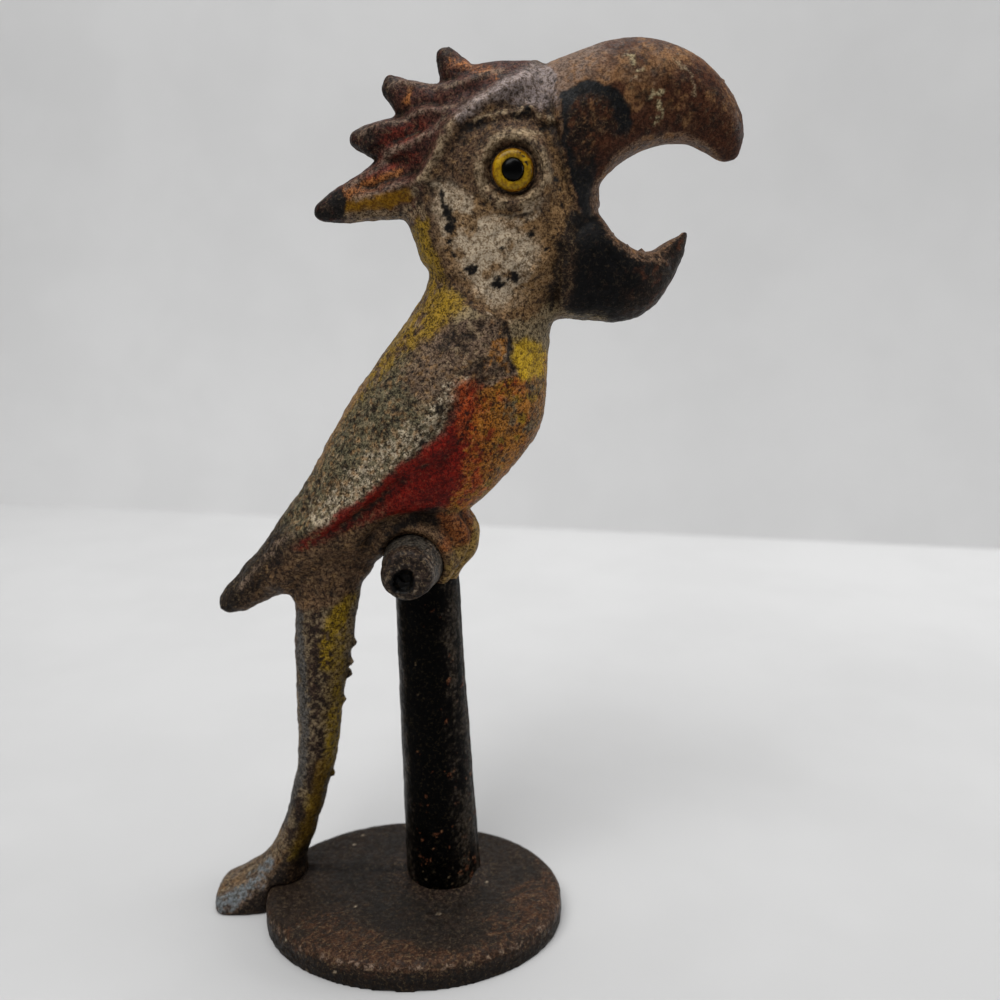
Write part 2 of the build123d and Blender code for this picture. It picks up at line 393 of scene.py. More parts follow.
def nudged(points, faces):
    """Rounds the tips of the crest and the nape, and moves a few places to where they are on the casting."""
    softer = smooth(points, faces, 14)
    softest = smooth(softer, faces, 40)
    side = points[:, [0, 2]]
    for centres, reach, target in ((TIPS, 1.5, softer), ((NAPE,), 3.0, softest)):
        for centre in centres:
            weight = bell(far(side, centre), reach)
            points = points + weight[:, None] * (target - points)
    moved = points.copy()
    for centre, reach, shift in NUDGES:
        weight = bell(far(side, centre), reach)
        moved[:, [0, 2]] += weight[:, None] * shift
    # Nothing is pushed into the floor
    moved[:, 2] = np.maximum(moved[:, 2], np.minimum(points[:, 2], 0.02))
    return moved


def squared_beak(points, normals):
    """Flattens the inside of the mouth across the beak, which leaves a crisp edge along both jaws."""
    out = points[:, [0, 2]] - MOUTH
    radius = np.linalg.norm(out, axis=1)
    angle = np.arctan2(out[:, 1], out[:, 0])
    angle = np.where(angle < 0, angle + 2 * np.pi, angle)
    width = np.interp(angle, BEAK_ANGLES, BEAK_HALF_WIDTHS)
    depth = np.interp(angle, BEAK_ANGLES, BEAK_HALF_DEPTHS)
    across = np.clip(np.abs(points[:, 1]) / width, 0, 0.97)
    rounded = 1 - np.sqrt(1 - across**2)
    squared = 1 - (1 - across**4) ** (1 / 4)
    drop = depth * (rounded - squared)
    towards = -np.einsum("ij,ij->i", normals[:, [0, 2]], out) / radius
    weight = step(-0.1, 0.5, towards) * step(16.0, 13.0, radius) * step(-12.5, -9.0, out[:, 0])
    moved = points.copy()
    moved[:, [0, 2]] -= (0.85 * drop * weight / radius)[:, None] * out
    return moved


def eye_profile(radius):
    """Height of the skin round the eye over its seat, by distance from the eye's middle."""
    rings = np.array([0.0, EYE_RADIUS, EYE_RADIUS + 0.35, 4.2, 4.9, 6.0, 7.5])
    heights = np.array([0.3, 0.55, 0.6, 1.6, 1.45, 0.6, 0.5])
    return np.interp(radius, rings, heights)


class Skin:
    """The bird's surface while it is sculpted, and how far each vertex goes out along its normal."""

    def __init__(self, points, faces):
        """Starts with nothing lifted. Features are placed by ragged, which wavers about the side view."""
        self.points = points
        self.normals = normals_of(points, faces)
        self.side = points[:, [0, 2]]
        wobble = np.stack([cloud(points, 3.0, seed) for seed in (1, 2, 3)], axis=1)
        self.ragged = (points + 0.5 * wobble)[:, [0, 2]]
        self.sideways = np.abs(self.normals[:, 1])
        self.flank = step(0.25, 0.7, self.sideways)
        self.lift = np.zeros(len(points))

    def ridge(self, where, height, gap, width, middle=0.0):
        """Raises the flanks where gap is near middle, or lowers them if height is negative."""
        self.lift += self.flank * where * height * bell(gap, width, middle)


def sculpt_face(skin):
    """Sets the beak back behind the face, most of all at the sides, and models the face's own features."""
    gap, place, hand = along(skin.side, FACE_EDGE)
    ahead = np.where(hand < 0, -gap, gap)
    beyond = step(0.25, -0.6, ahead) * step(-9.0, -1.5, ahead) * step(0.0, 0.4, place) * step(1, 0.8, place)
    skin.lift -= 0.6 * beyond * step(0.15, 0.5, skin.sideways)
    # The rim round the back of the face, with a hollow inside it and the crest falling away behind
    gap, place, _ = along(skin.ragged, RIM)
    ends = step(0.0, 0.12, place) * step(1.0, 0.8, place)
    skin.ridge(ends, 0.85, gap, 0.95)
    skin.ridge(ends, -0.35, gap, 1.0, 2.2)
    # Brow, and blobs of thick paint on the cheek
    gap, _, hand = along(skin.ragged, BROW)
    skin.ridge(1, 0.26, gap, 0.5)
    skin.ridge(hand < 0, -0.22, gap, 0.6, 1.0)
    for lump in CHEEK_LUMPS:
        skin.ridge(1, 0.5, far(skin.ragged, lump), 0.9)


def sculpt_crest(skin):
    """Gives each feather of the crest a raised top edge that laps over a valley in the one above."""
    for line in CREST_RIDGES:
        gap, place, hand = along(skin.ragged, line)
        fade = step(0.0, 0.12, place) * step(1.0, 0.7, place)
        skin.ridge(fade, 0.45, gap, 0.75)
        skin.ridge(fade * (hand > 0), -0.45, gap, 0.75, 1.4)
        skin.ridge(fade * (hand < 0), -0.25, gap, 1.0, 2.0)


def sculpt_wing(skin):
    """Folds the wing, with a swollen lower edge over a groove, and bares the shoulder of thick paint."""
    gap, place, hand = along(skin.ragged, WING_EDGE)
    fade = step(0.0, 0.12, place) * step(1.0, 0.94, place)
    skin.ridge(fade, 0.4, gap, 1.2)
    skin.ridge(fade * (hand > 0), -0.5, gap, 1.2, 1.7)
    skin.ridge(fade * (hand < 0) * step(0.5, 0.7, place), -0.3, gap, 0.9, 2.4)
    bare = step(-0.1, 0.25, inside(skin.ragged, BARE_SHOULDER))
    skin.lift -= skin.flank * 0.22 * bare * step(8.0, 12.5, skin.side[:, 0] - BAR[0])


def sculpt_toes(skin):
    """Lays two feet of two toes each round the bar like a collar, under the overhang of the belly."""
    x, z = (skin.side - BAR).T
    reach = far(skin.side, BAR)
    skin.ridge(step(-0.1, 0.45, z / np.maximum(reach, 1e-6)), -1.1, reach, 1.1, 7.1)
    skin.ridge(1, 0.4, reach, 0.7, 5.5)
    front = step(2.5, 5.0, x) * step(9.0, 6.0, np.abs(z)) * step(14.0, 11.0, reach)
    across = np.abs(skin.points[:, 1])
    skin.lift -= front * 0.6 * bell(across, 0.6)
    skin.lift -= front * 0.45 * bell(across, 0.5, 3.4)


def roughen(skin):
    """Adds the lumps of an old casting, most of all on the wing, the cheek and the bare shoulder."""
    areas = ((WING_AREA, 1), (CHEEK, 1), (BARE_SHOULDER, 0.5))
    crusty = np.max([step(-1, full, inside(skin.ragged, area)) for area, full in areas], axis=0)
    crusty = 0.25 + 0.75 * crusty
    skin.lift += 0.16 * cloud(skin.points, 5.0, 11) + 0.13 * crusty * cloud(skin.points, 1.5, 12)


def seated_eye(skin, points):
    """Cuts the eye's flat seat, the groove round it and the raised ring of skin outside the groove."""
    radius = far(skin.side, EYE)
    out = np.abs(skin.points[:, 1])
    near = step(7.4, 4.6, radius) * step(3.0, 5.0, out) * step(0.25, 0.5, skin.sideways)
    lumps = 0.26 * cloud(skin.points, 1.8, 21) * step(EYE_RADIUS, EYE_RADIUS + 1, radius)
    target = EYE_SEAT_Y + eye_profile(radius) + lumps
    points[:, 1] += near * (np.sign(skin.points[:, 1]) * target - points[:, 1])
    return points


def sculpted(points, faces):
    """Adds the modelling of the feathers, eyes, beak and wings, and the roughness of the casting."""
    skin = Skin(points, faces)
    for sculpt in (sculpt_face, sculpt_crest, sculpt_wing, sculpt_toes, roughen):
        sculpt(skin)
    return seated_eye(skin, points + skin.lift[:, None] * skin.normals)


def flashed(points, faces):
    """Raises the thin ragged flash that the mould left along the parting plane."""
    normals = normals_of(points, faces)
    thin = bell(points[:, 1], 0.32) * step(0.6, 0.9, np.hypot(normals[:, 0], normals[:, 2]))
    ragged = 0.5 + 0.5 * cloud(points * (1, 0, 1), 4.0, 31) + 0.4 * cloud(points * (1, 0, 1), 0.9, 32)
    lift = 0.22 * thin * np.clip(ragged, 0, 1.3)
    wobble = 0.3 * np.stack([cloud(points, 0.8, seed) for seed in (34, 35, 36)], axis=1)
    for i, ((x, z), size) in enumerate(BURRS):
        place = (x, -0.25 + 0.1 * (i % 3), z)
        lift += size * (1 + 0.2 * (i % 3)) * bell(far(points - wobble, place), size)
    return points + lift[:, None] * normals


def bird_mesh():
    """Returns the vertices and faces of the whole bird."""
    points, faces = cad_mesh("bird_right_half", "bird_left_half", drop_parting=True)
    points, faces = remesh(points, faces, ROUGH_VOXEL)
    points = smooth(points, faces, 9, keep=1.03)
    points = nudged(points, faces)
    points = squared_beak(points, normals_of(points, faces))
    points, faces = remesh(points, faces, FINE_VOXEL)
    points = smooth(points, faces, 5, keep=0.5)
    points = sculpted(points, faces)
    points = flashed(points, faces)
    points[:, 2] = np.maximum(points[:, 2], 0)
    return points, faces


def halves(points, faces, *colours):
    """Cuts the bird on the parting plane and returns the closed right and left castings."""
    whole = new_mesh("whole", points, faces)
    for i, values in enumerate(colours):
        layer = whole.attributes.new(f"colour{i}", "FLOAT_VECTOR", "POINT")
        layer.data.foreach_set("vector", values.ravel())
    for right in (True, False):
        work = bmesh.new()
        work.from_mesh(whole)
        parts = work.verts[:] + work.edges[:] + work.faces[:]
        bmesh.ops.bisect_plane(
            work, geom=parts, plane_co=(0, 0, 0), plane_no=(0, 1, 0),
            clear_outer=right, clear_inner=not right,
        )
        rim = [e for e in work.edges if e.is_boundary]
        bmesh.ops.triangle_fill(work, edges=rim, use_beauty=False, use_dissolve=False)
        work.verts.index_update()
        layers = [work.verts.layers.float_vector[f"colour{i}"] for i in range(len(colours))]
        half_points = np.array([v.co for v in work.verts])
        half_colours = [np.array([v[layer] for v in work.verts]) for layer in layers]
        half_faces = [[v.index for v in f.verts] for f in work.faces]
        work.free()
        yield half_points, half_faces, *half_colours


# ---- Paint ----
def linear(tone):
    """Turns a colour given as 0 to 255 on screen into linear light."""
    value = np.array(tone, float) / 255
    return np.where(value <= 0.04045, value / 12.92, ((value + 0.055) / 1.055) ** 2.4)


# Some of these colours are painted light. The deep red, the dim tail yellow and the eye's orange are painted
# shade. The ridge grey, the purple grey and the post's grey are painted highlights and sheen. The dirt, the
# iron, the dirty cream and the bar's worn colour also serve in places for painted shade or highlight.
SCREEN_COLOURS = {
    "iron": (40, 30, 24), "black": (20, 17, 16), "dirt": (36, 26, 18), "brown": (73, 54, 39),
    "cream": (158, 144, 124), "dirty_cream": (122, 106, 84), "tan": (112, 86, 56), "fleck": (146, 126, 92),
    "purple_grey": (112, 102, 100), "ridge_grey": (98, 82, 70), "maroon": (60, 34, 28),
    "crest_red": (86, 30, 20), "crest_orange": (144, 90, 46), "crest_yellow": (116, 82, 10),
    "crest_under": (116, 98, 76), "neck_yellow": (120, 95, 24), "bright_yellow": (158, 128, 24),
    "neck_grey": (114, 100, 76), "shoulder": (88, 71, 58), "olive": (76, 71, 54),
    "wing_white": (150, 138, 118), "red": (92, 15, 7), "red_in_shade": (74, 12, 8), "red_orange": (134, 56, 20),
    "breast": (132, 84, 26), "breast_tan": (112, 86, 58), "vent": (82, 62, 44), "wing_tip": (32, 25, 20),
    "tail_blue": (66, 64, 62), "tail_pink": (100, 86, 66), "tail_dark": (40, 28, 22),
    "tail_dim": (88, 66, 14), "tail_yellow": (122, 98, 16), "shade": (22, 14, 8), "foot_blue": (84, 92, 98),
    "toe_red": (106, 58, 26), "toe_yellow": (124, 100, 50), "beak_purple": (96, 79, 68),
    "beak_tan": (108, 78, 50), "beak_brown": (57, 31, 18), "beak_tip": (34, 25, 21), "cere": (14, 15, 17),
    "cere_brown": (34, 21, 14), "jaw_black": (4, 4, 5), "jaw_brown": (28, 19, 13), "mouth": (92, 70, 54),
    "pale_speck": (132, 120, 92), "eye_yellow": (138, 108, 6), "eye_orange_shade": (120, 74, 10),
    "bar_blue": (49, 46, 42), "bar_brown": (42, 32, 26), "bar_worn": (84, 74, 64), "post_black": (2, 2, 2),
    "post_sheen": (42, 37, 32), "rust": (78, 46, 30), "base_dark": (22, 18, 15), "base_brown": (31, 23, 17),
    "base_rust": (54, 35, 22),
}
COLOURS = {name: linear(tone) for name, tone in SCREEN_COLOURS.items()}
# How dark the pits in a colour are beside its grains, where they aren't the usual, and in which tint
USUAL_PITS = 0.3
PITS = {
    "cream": 0.6, "dirty_cream": 0.5, "red": 0.5, "red_in_shade": 0.6, "purple_grey": 0.55, "bright_yellow": 0.5,
    "crest_yellow": 0.7, "base_dark": 0.85, "base_brown": 0.75, "base_rust": 0.6, "jaw_black": 0.5,
    "cere": 0.4, "post_black": 0.6, "post_sheen": 0.6, "eye_yellow": 0.75, "eye_orange_shade": 0.6,
    "tail_blue": 0.4, "bar_blue": 0.3, "beak_tan": 0.6, "beak_brown": 0.55, "beak_purple": 0.6, "mouth": 0.4,
    "foot_blue": 0.7, "tan": 0.42, "tail_dim": 0.6,
}
PIT_TINT = np.array((1.0, 0.86, 0.70))
# How crusty the surface of a colour is
USUAL_CRUST = 0.75
CRUST = {
    "cream": 0.4, "crest_yellow": 0.2, "shade": 0.3, "neck_yellow": 0.5, "bright_yellow": 0.4, "olive": 1.0,
    "shoulder": 1.0, "wing_white": 1.0, "breast": 0.9, "maroon": 0.45, "crest_red": 0.4, "beak_tan": 0.3,
    "beak_brown": 0.25, "beak_purple": 0.4, "cere": 0.2, "cere_brown": 0.5, "jaw_black": 0.12,
    "jaw_brown": 0.3, "red": 0.3, "red_in_shade": 0.3, "black": 0.3, "post_black": 0.12, "post_sheen": 0.35,
    "eye_yellow": 0.1, "eye_orange_shade": 0.2, "base_dark": 0.22, "base_brown": 0.32, "base_rust": 0.6,
    "iron": 0.5, "foot_blue": 0.2, "bar_blue": 0.6, "dirt": 0.6,
}


class Coat:
    """Colour laid on a mesh in layers with ragged edges, and the darker colour in the pits under it."""

    def __init__(self, points, base):
        """Starts with one colour all over."""
        self.points = points
        drift = [cloud(points, 2.2, seed) + 0.5 * cloud(points, 0.8, seed + 3) for seed in (41, 42)]
        self.side = points[:, [0, 2]] + 0.45 * np.stack(drift, axis=1)
        self.grain = noise(points, 0.42, 51) + 0.5 * noise(points @ TURN, 0.9, 52)
        self.colour = np.tile(COLOURS[base], (len(points), 1))
        self.pits = PITS.get(base, USUAL_PITS) * self.colour * PIT_TINT
        self.crust = np.full((len(points), 3), CRUST.get(base, USUAL_CRUST))

    def lay(self, colour, amount, stipple=0.5):
        """Lays a colour on, where amount is 1, with partly covered areas broken up into grains."""
        amount = np.clip(amount, 0, 1)
        broken = amount + stipple * self.grain * np.minimum(1, 4 * amount * (1 - amount))
        cover = amount * (1 - stipple) + step(0.3, 0.7, broken) * stipple
        cover = np.clip(cover, 0, 1)[:, None]
        self.colour += cover * (COLOURS[colour] - self.colour)
        self.pits += cover * (PITS.get(colour, USUAL_PITS) * COLOURS[colour] * PIT_TINT - self.pits)
        self.crust += cover * (CRUST.get(colour, USUAL_CRUST) - self.crust)

    def patch(self, colour, outline, soft=0.8, amount=1.0, stipple=0.5):
        """Fills an outline."""
        self.lay(colour, amount * step(-soft, soft, inside(self.side, outline)), stipple)

    def stroke(self, colour, line, width, soft=0.8, amount=1.0, stipple=0.5):
        """Paints a line."""
        gap = along(self.side, line)[0]
        self.lay(colour, amount * step(width / 2 + soft, max(width / 2 - soft, 0), gap), stipple)

    def spots(self, colour, centres, radius, amount=1.0, stipple=0.2):
        """Puts a ragged spot at each centre."""
        for centre in centres:
            gap = far(self.side, centre) + 0.35 * radius * self.grain
            self.lay(colour, amount * step(radius, 0.6 * radius, gap), stipple)

    def mottle(self, where, *flecks):
        """Breaks an area up with cloudy flecks, given as rows of colour, size in mm, amount and seed."""
        for colour, size, amount, seed in flecks:
            cover = step(0.05, 0.5, cloud(self.points, size, seed, 2))
            self.lay(colour, amount * cover * where, 0.6)


CREST_AREA = head((-29, -8), (-13, -6.5), (-11.5, -1), (-6, 7), (2, 13), (-2, 20), (-20, 20), (-30, 6))


def paint_crest(coat):
    """Paints the four feathers of the crest, wine red, with a painted grey highlight along the top edge of
    each.
    """
    coat.patch("maroon", CREST_AREA)
    # Lowest feather: orange and red, then yellow, over a grey underside and a black tip
    coat.stroke("crest_under", head((-24, -5.6), (-18, -5.6), (-12.6, -5)), 2.2)
    yellow = head((-23.6, -4.3), (-19, -3.7), (-15, -2.9))
    coat.stroke("crest_yellow", yellow, 1.9, 0.4, stipple=0.2)
    coat.stroke("crest_orange", head((-23.5, -2.6), (-20, -1.5), (-16, 0.5)), 1.6, 0.7, 0.8)
    coat.stroke("crest_red", head((-20, -0.2), (-16.5, 1.6), (-13.5, 1.8)), 1.8, 0.9, 0.8)
    coat.patch("black", head((-29, -6), (-24.6, -6.4), (-23.4, -3.6), (-24.8, -2.2), (-28, -2)), 0.4)
    # Second feather
    coat.stroke("crest_red", head((-19, 3.2), (-16.5, 4.8), (-12.5, 6)), 2.2, 1.0, 0.9)
    coat.patch("beak_tip", head((-24, 2), (-19.4, 2), (-19, 6), (-24, 8)), 0.7, 0.75)
    # Third and fourth
    coat.stroke("crest_orange", head((-14.6, 9.6), (-14, 11.2)), 1.0, 0.5, 0.8)
    coat.patch("beak_tip", head((-19, 8), (-16.6, 9), (-16, 14), (-19, 14)), 0.8, 0.7)
    coat.patch("beak_tip", head((-12, 14), (-9, 14.4), (-8, 17), (-12, 19)), 0.8, 0.8)
    coat.stroke("crest_orange", head((-8.5, 15.2), (-5, 14), (-2.6, 12.6)), 1.6, 0.8, 0.55)
    crest = step(0.9, 1.6, along(coat.side, yellow)[0]) * step(-1, 1, inside(coat.side, CREST_AREA))
    coat.mottle(crest, ("iron", 1.3, 0.55, 101), ("maroon", 0.9, 0.4, 102))
    # A painted highlight along the raised top edge of each feather
    for ridge in CREST_RIDGES:
        coat.stroke("ridge_grey", ridge, 0.7, 0.6, 0.6)


def paint_face(coat):
    """Paints the face, cream below the eye and brown above and behind it."""
    face = head((-12.5, -2.5), (-10.9, 2), (-6, 6.9), (-0.9, 10), (4.4, 11), (5.8, 8), (6.6, 3.9), (8, -1.6),
                (9.5, -4.5), (8.1, -8.1), (6.8, -12.1), (5.9, -17.2), (1.1, -20), (-4.5, -19), (-8.6, -15.2),
                (-11.1, -9.1))
    coat.patch("brown", face, 0.5)
    brown = step(-0.5, 0.5, inside(coat.side, face))
    coat.mottle(brown, ("tan", 0.9, 0.4, 111), ("dirt", 1.8, 0.55, 112))
    # A painted sheen of purple grey over the top of the head above the eye
    outline = head((-4, 9), (-1.1, 11.6), (2.3, 14.2), (6.5, 14.2), (6, 11), (5.2, 8.4), (2.3, 8.4),
                   (-1, 9.2))
    coat.patch("purple_grey", outline, 1.0, 0.9)
    outline = head((-10.4, -2.2), (-3, -4.5), (3.7, -5), (6.2, -9), (4, -16), (0, -19), (-4.5, -18),
                   (-9.4, -12.1))
    coat.patch("tan", outline, 1.6, 0.8)
    outline = head((-10.9, -1.8), (-7.8, -2.4), (-4.4, -4.9), (-1.2, -7), (2.6, -8.6), (4.4, -12),
                   (2.6, -16.5), (-0.6, -18.6), (-4.2, -16.6), (-7.8, -12.1), (-9.9, -7.2))
    coat.patch("cream", outline, 1.6, 0.95)
    cheek = head((-11, -2), (5, -3), (7, -10), (2, -21), (-6, -19), (-11, -10))
    cheek = step(0, 2, inside(coat.side, cheek))
    coat.mottle(cheek, ("tan", 3.0, 0.75, 113), ("cream", 1.6, 0.5, 114), ("brown", 0.8, 0.25, 115))
    coat.patch("tan", head((0.5, -15), (5.6, -11), (6.8, -17), (2, -20.5), (-2, -19)), 1.6, 0.6)
    coat.mottle(step(1.0, 5.5, coat.side[:, 0] - EYE[0]) * cheek, ("brown", 1.5, 0.35, 117))
    outline = head((4.4, 7.6), (6.2, 3), (8.4, -2.5), (7.8, -7), (5.6, -9.5), (4.4, -4.5), (5.2, 0.5))
    coat.patch("tan", outline, 0.9, 0.8)
    coat.stroke("tan", head((6.8, -3), (5.6, -8), (4.6, -12), (2.5, -15.5)), 2.8, 1.4, 0.75)
    # Painted shade in the groove where the cheek meets the jaw
    coat.stroke("dirt", head((8.6, -6.6), (7.4, -9.8), (6.8, -13.2), (6, -17)), 2.4, 1.2, 0.9)


def paint_brow(coat):
    """Paints a highlight along the rim of the face, the collar round the eye, and the brow, with painted
    shade round the eye ring and under the brow.
    """
    # Painted highlight along the raised rim of the face, pale low down and purple grey over the top
    coat.stroke("dirty_cream", RIM[:7], 0.9, 0.7, 0.7)
    coat.stroke("purple_grey", RIM[4:], 1.2, 0.9, 0.8)
    radius = far(coat.side, EYE)
    coat.lay("dirty_cream", 0.8 * bell(radius, 0.9, 4.4, 4))
    coat.mottle(bell(radius, 1.6, 4.6, 4), ("brown", 1.0, 0.7, 116))
    # Painted shade in the groove round the eye ring
    coat.lay("dirt", 0.3 * bell(radius, 0.4, 3.0), 0.3)
    # The brow has a pale broken edge over a painted shadow, and so has a shorter fold nearer the eye.
    coat.stroke("dirty_cream", BROW, 0.4, 0.4, 0.55, 0.9)
    coat.stroke("dirt", BROW - (0, 0.9), 0.5, 0.6, 0.4)
    coat.stroke("dirty_cream", head((-1.6, 3.9), (1.4, 4.6), (4.2, 4.9)), 0.4, 0.4, 0.6, 0.9)
    coat.stroke("dirt", head((1.5, 3.6), (3.6, 2.6)), 0.7, 0.6, 0.7)
    coat.spots("black", head((-5.9, 5.5), (-4.6, 6), (0.4, 7.3), (1.8, 7.5), (4, 5.8), (5.2, 5.4)), 0.6)


def paint_flakes(coat):
    """Paints the cheek's bare black flakes, where the cream paint has come off."""
    coat.stroke("black", head((-9.9, -3), (-9.5, -4.4), (-8.9, -6), (-8.6, -7.9)), 0.9, 0.45, 0.95, 0.9)
    places = head((-9, -5.4), (-9, -7.2), (-6.2, -12.9), (-5.6, -13.3), (-2.4, -15), (0.1, -14.3))
    coat.spots("black", places, 0.85)
    places = head((-7.9, -6.2), (-8.5, -9.6), (-8.3, -11.2), (-1.6, -15.2), (-0.7, -14.5), (6.3, -2.4),
                  (5.8, -1), (6.6, -4.6), (2.4, -8.2), (-1.4, -10.2), (4.6, -10.4))
    coat.spots("black", places, 0.42)


def beak_places(coat):
    """Returns each vertex's place from the eye, and 1 where it is ahead of the face or else 0."""
    x, z = (coat.side - EYE).T
    behind = np.interp(z, (-6, -2, 4, 8, 12.5, 14), (9.9, 8.4, 6.9, 6.3, 5.6, 5.2))
    return x, z, step(-0.15, 0.2, x - behind)


def paint_beak(coat):
    """Paints the upper beak grey, tan and rust brown."""
    x, z, ahead = beak_places(coat)
    upper = ahead * step(-6.5, -5.5, z)
    coat.lay("beak_brown", upper, 0.1)
    coat.lay("beak_purple", upper * step(16, 8, x + 0.6 * (14 - z)) * step(8, 11, z))
    coat.mottle(upper * step(-2, 6, z), ("beak_tan", 2.4, 0.35, 121))
    # Tan along the top of the beak, partly tan paint and partly a painted highlight where the light falls
    # from above
    outline = head((9, 11.5), (13, 14.5), (19, 16.5), (26, 17), (22, 13), (17.5, 11), (15, 8.6))
    coat.patch("beak_tan", outline, 1.8, 0.75)
    coat.mottle(upper * step(9, 14, x), ("beak_brown", 3.2, 0.8, 122))
    coat.mottle(upper * step(5, 12, z) * step(26, 18, x), ("beak_purple", 2.2, 0.4, 129))
    coat.mottle(upper * step(14, 18, x) * step(27, 23, x), ("beak_tan", 2.0, 0.5, 130))
    coat.mottle(upper * step(10, 16, x), ("dirt", 1.2, 0.35, 123))
    # The same tan paint and painted highlight along the top of the beak's curved front
    coat.stroke("beak_tan", head((24, 18), (29, 13.5), (31, 8)), 1.6, 1.4, 0.4)
    coat.stroke("pale_speck", head((15.7, 15.2), (16.2, 14), (16.9, 12.4)), 0.8, 1.4, 0.34, 0.8)
    coat.stroke("pale_speck", head((19.2, 10.4), (19.6, 9), (19.9, 7)), 1.2, 1.0, 0.45, 0.95)
    line = head((21.7, 14.9), (22.5, 14.1), (24.2, 12.8), (24.8, 10.2))
    coat.stroke("dirty_cream", line, 0.2, 0.3, 0.7, 0.5)
    coat.patch("beak_tip", head((27, 3.4), (33, 5.2), (34, 0), (27, 0)), 0.8, 0.8)


def paint_cere(coat):
    """Paints the black cere, brown inside its rim, and the brown of the mouth's corner."""
    x, z, ahead = beak_places(coat)
    cere = head((5.6, 9), (6.6, 10.6), (9.3, 11.5), (12, 11.4), (14.4, 10.2), (15.8, 7.8), (16.1, 5.4),
                (14.6, 3), (12.4, 0.9), (11.6, -1.3), (11.4, -4.6), (9, -5.6), (7.6, -1), (5.6, 4))
    deep = inside(coat.side, cere)
    coat.lay("cere", ahead * step(-0.25, 0.25, deep), 0.1)
    rim_only = step(1.2, 2.6, deep) * step(6.0, 7.6, x) * step(-1.5, 2.0, z)
    coat.lay("cere_brown", ahead * rim_only, 0.8)
    coat.mottle(ahead * rim_only, ("beak_brown", 0.9, 0.7, 124), ("beak_tan", 0.6, 0.3, 125))
    coat.lay("beak_brown", ahead * step(10.4, 12.4, x) * step(6, 3.5, z) * step(-4, -2, z), 0.5)


def paint_jaw(coat):
    """Paints the jaw black, brown towards its tip and grey where it meets the throat."""
    jaw = head((8.8, -5.6), (11, -5), (13, -7), (17, -9.5), (20.5, -9.5), (25, -8.2), (27.5, -8.5),
               (24, -19), (14, -21), (8.2, -21), (8.4, -14), (8.6, -9.5))
    coat.patch("jaw_black", jaw, 0.9, stipple=0.4)
    outline = head((17.5, -9), (28, -7), (28, -14), (20, -20), (15, -19.5), (19, -14))
    coat.patch("jaw_brown", outline, 1.6, 0.9)
    jaw_area = step(-0.5, 0.5, inside(coat.side, jaw))
    coat.mottle(jaw_area * step(14, 20, coat.side[:, 0] - EYE[0]), ("beak_brown", 1.0, 0.7, 126))
    coat.mottle(jaw_area, ("jaw_brown", 0.8, 0.35, 127))
    # Painted shade in the groove between the cheek and the jaw
    coat.stroke("dirt", head((8, -8.6), (7.4, -12), (7.2, -17)), 1.8, 1.4, 0.75)
    coat.stroke("neck_grey", head((5.5, -18.8), (9, -20), (13, -20.4)), 1.6, 1.2, 0.6)


def paint_mouth(coat, normals):
    """Paints the flat worn strip inside the mouth on both jaws, and a pale worn edge along the lower jaw
    with a painted highlight on it.
    """
    out = coat.points[:, [0, 2]] - MOUTH
    radius = np.linalg.norm(out, axis=1)
    towards = -np.einsum("ij,ij->i", normals[:, [0, 2]], out) / radius
    strip = step(0.55, 0.8, towards) * step(12, 10.5, radius)
    coat.lay("mouth", 0.8 * strip)
    coat.mottle(strip, ("beak_tan", 1.2, 0.7, 128))
    # A pale worn edge along the lower jaw, with a painted highlight on it
    edge = step(1.0, 0.2, radius - 8.6) * step(-0.2, -1.0, out[:, 1]) * step(3, -1, out[:, 0])
    coat.lay("mouth", 0.7 * edge * (1 - strip), 0.9)


def paint_breast(coat):
    """Paints the neck yellow and grey, the breast orange and yellow, and the faded stripe down the back."""
    outline = body((-30, -10), (-15, -8), (-5, -4), (12, -6), (12, 10), (-5, 10), (-20, 4), (-32, -4))
    coat.patch("vent", outline, 1.0)
    coat.patch("neck_grey", body((4, 40), (20, 40), (21, 34), (20, 28), (14, 27), (6, 36)), 1.5)
    outline = body((7, 27.5), (13, 29), (16, 28.5), (20, 30.5), (21, 23.4), (19, 16), (13.7, 9), (9.3, 7),
                   (5.5, 8.5), (8.2, 16.1))
    coat.patch("breast", outline, 1.2)
    breast = step(-0.5, 1.5, inside(coat.side, body((7, 28), (20.5, 30), (20.5, 16), (9, 6), (5, 12))))
    coat.mottle(breast, ("neck_yellow", 1.5, 0.75, 131), ("red_orange", 2.4, 0.5, 132),
                ("iron", 0.9, 0.45, 133))
    coat.mottle(breast * step(10, 15, coat.side[:, 0] - BAR[0]), ("olive", 2.2, 0.55, 149))
    line = body((20.4, 28), (20.2, 23.4), (18.4, 17.2), (13.6, 10.6), (10.4, 8))
    coat.stroke("breast_tan", line, 3.2, 1.6, 0.85)
    outline = body((0, 53), (3.4, 50), (4, 46), (5.4, 41), (8.6, 38.8), (5.5, 35.6), (0, 30), (-5.5, 22.5),
                   (-12, 20), (-6, 33), (-1, 44))
    coat.patch("neck_yellow", outline, 1.6)
    outline = body((14.6, 33), (17, 33.4), (19.6, 31.4), (19.6, 28), (17.6, 27.2), (15, 28.4))
    coat.patch("bright_yellow", outline, 0.9, 0.9)
    faded = body((2.4, 40), (-3.5, 30.6), (-8.6, 24), (-13, 19.4))
    fading = step(3.6, 1.8, along(coat.side, faded)[0])
    coat.lay("brown", 0.3 * fading)
    coat.mottle(fading, ("brown", 1.0, 0.9, 145), ("dirty_cream", 0.8, 0.3, 146))


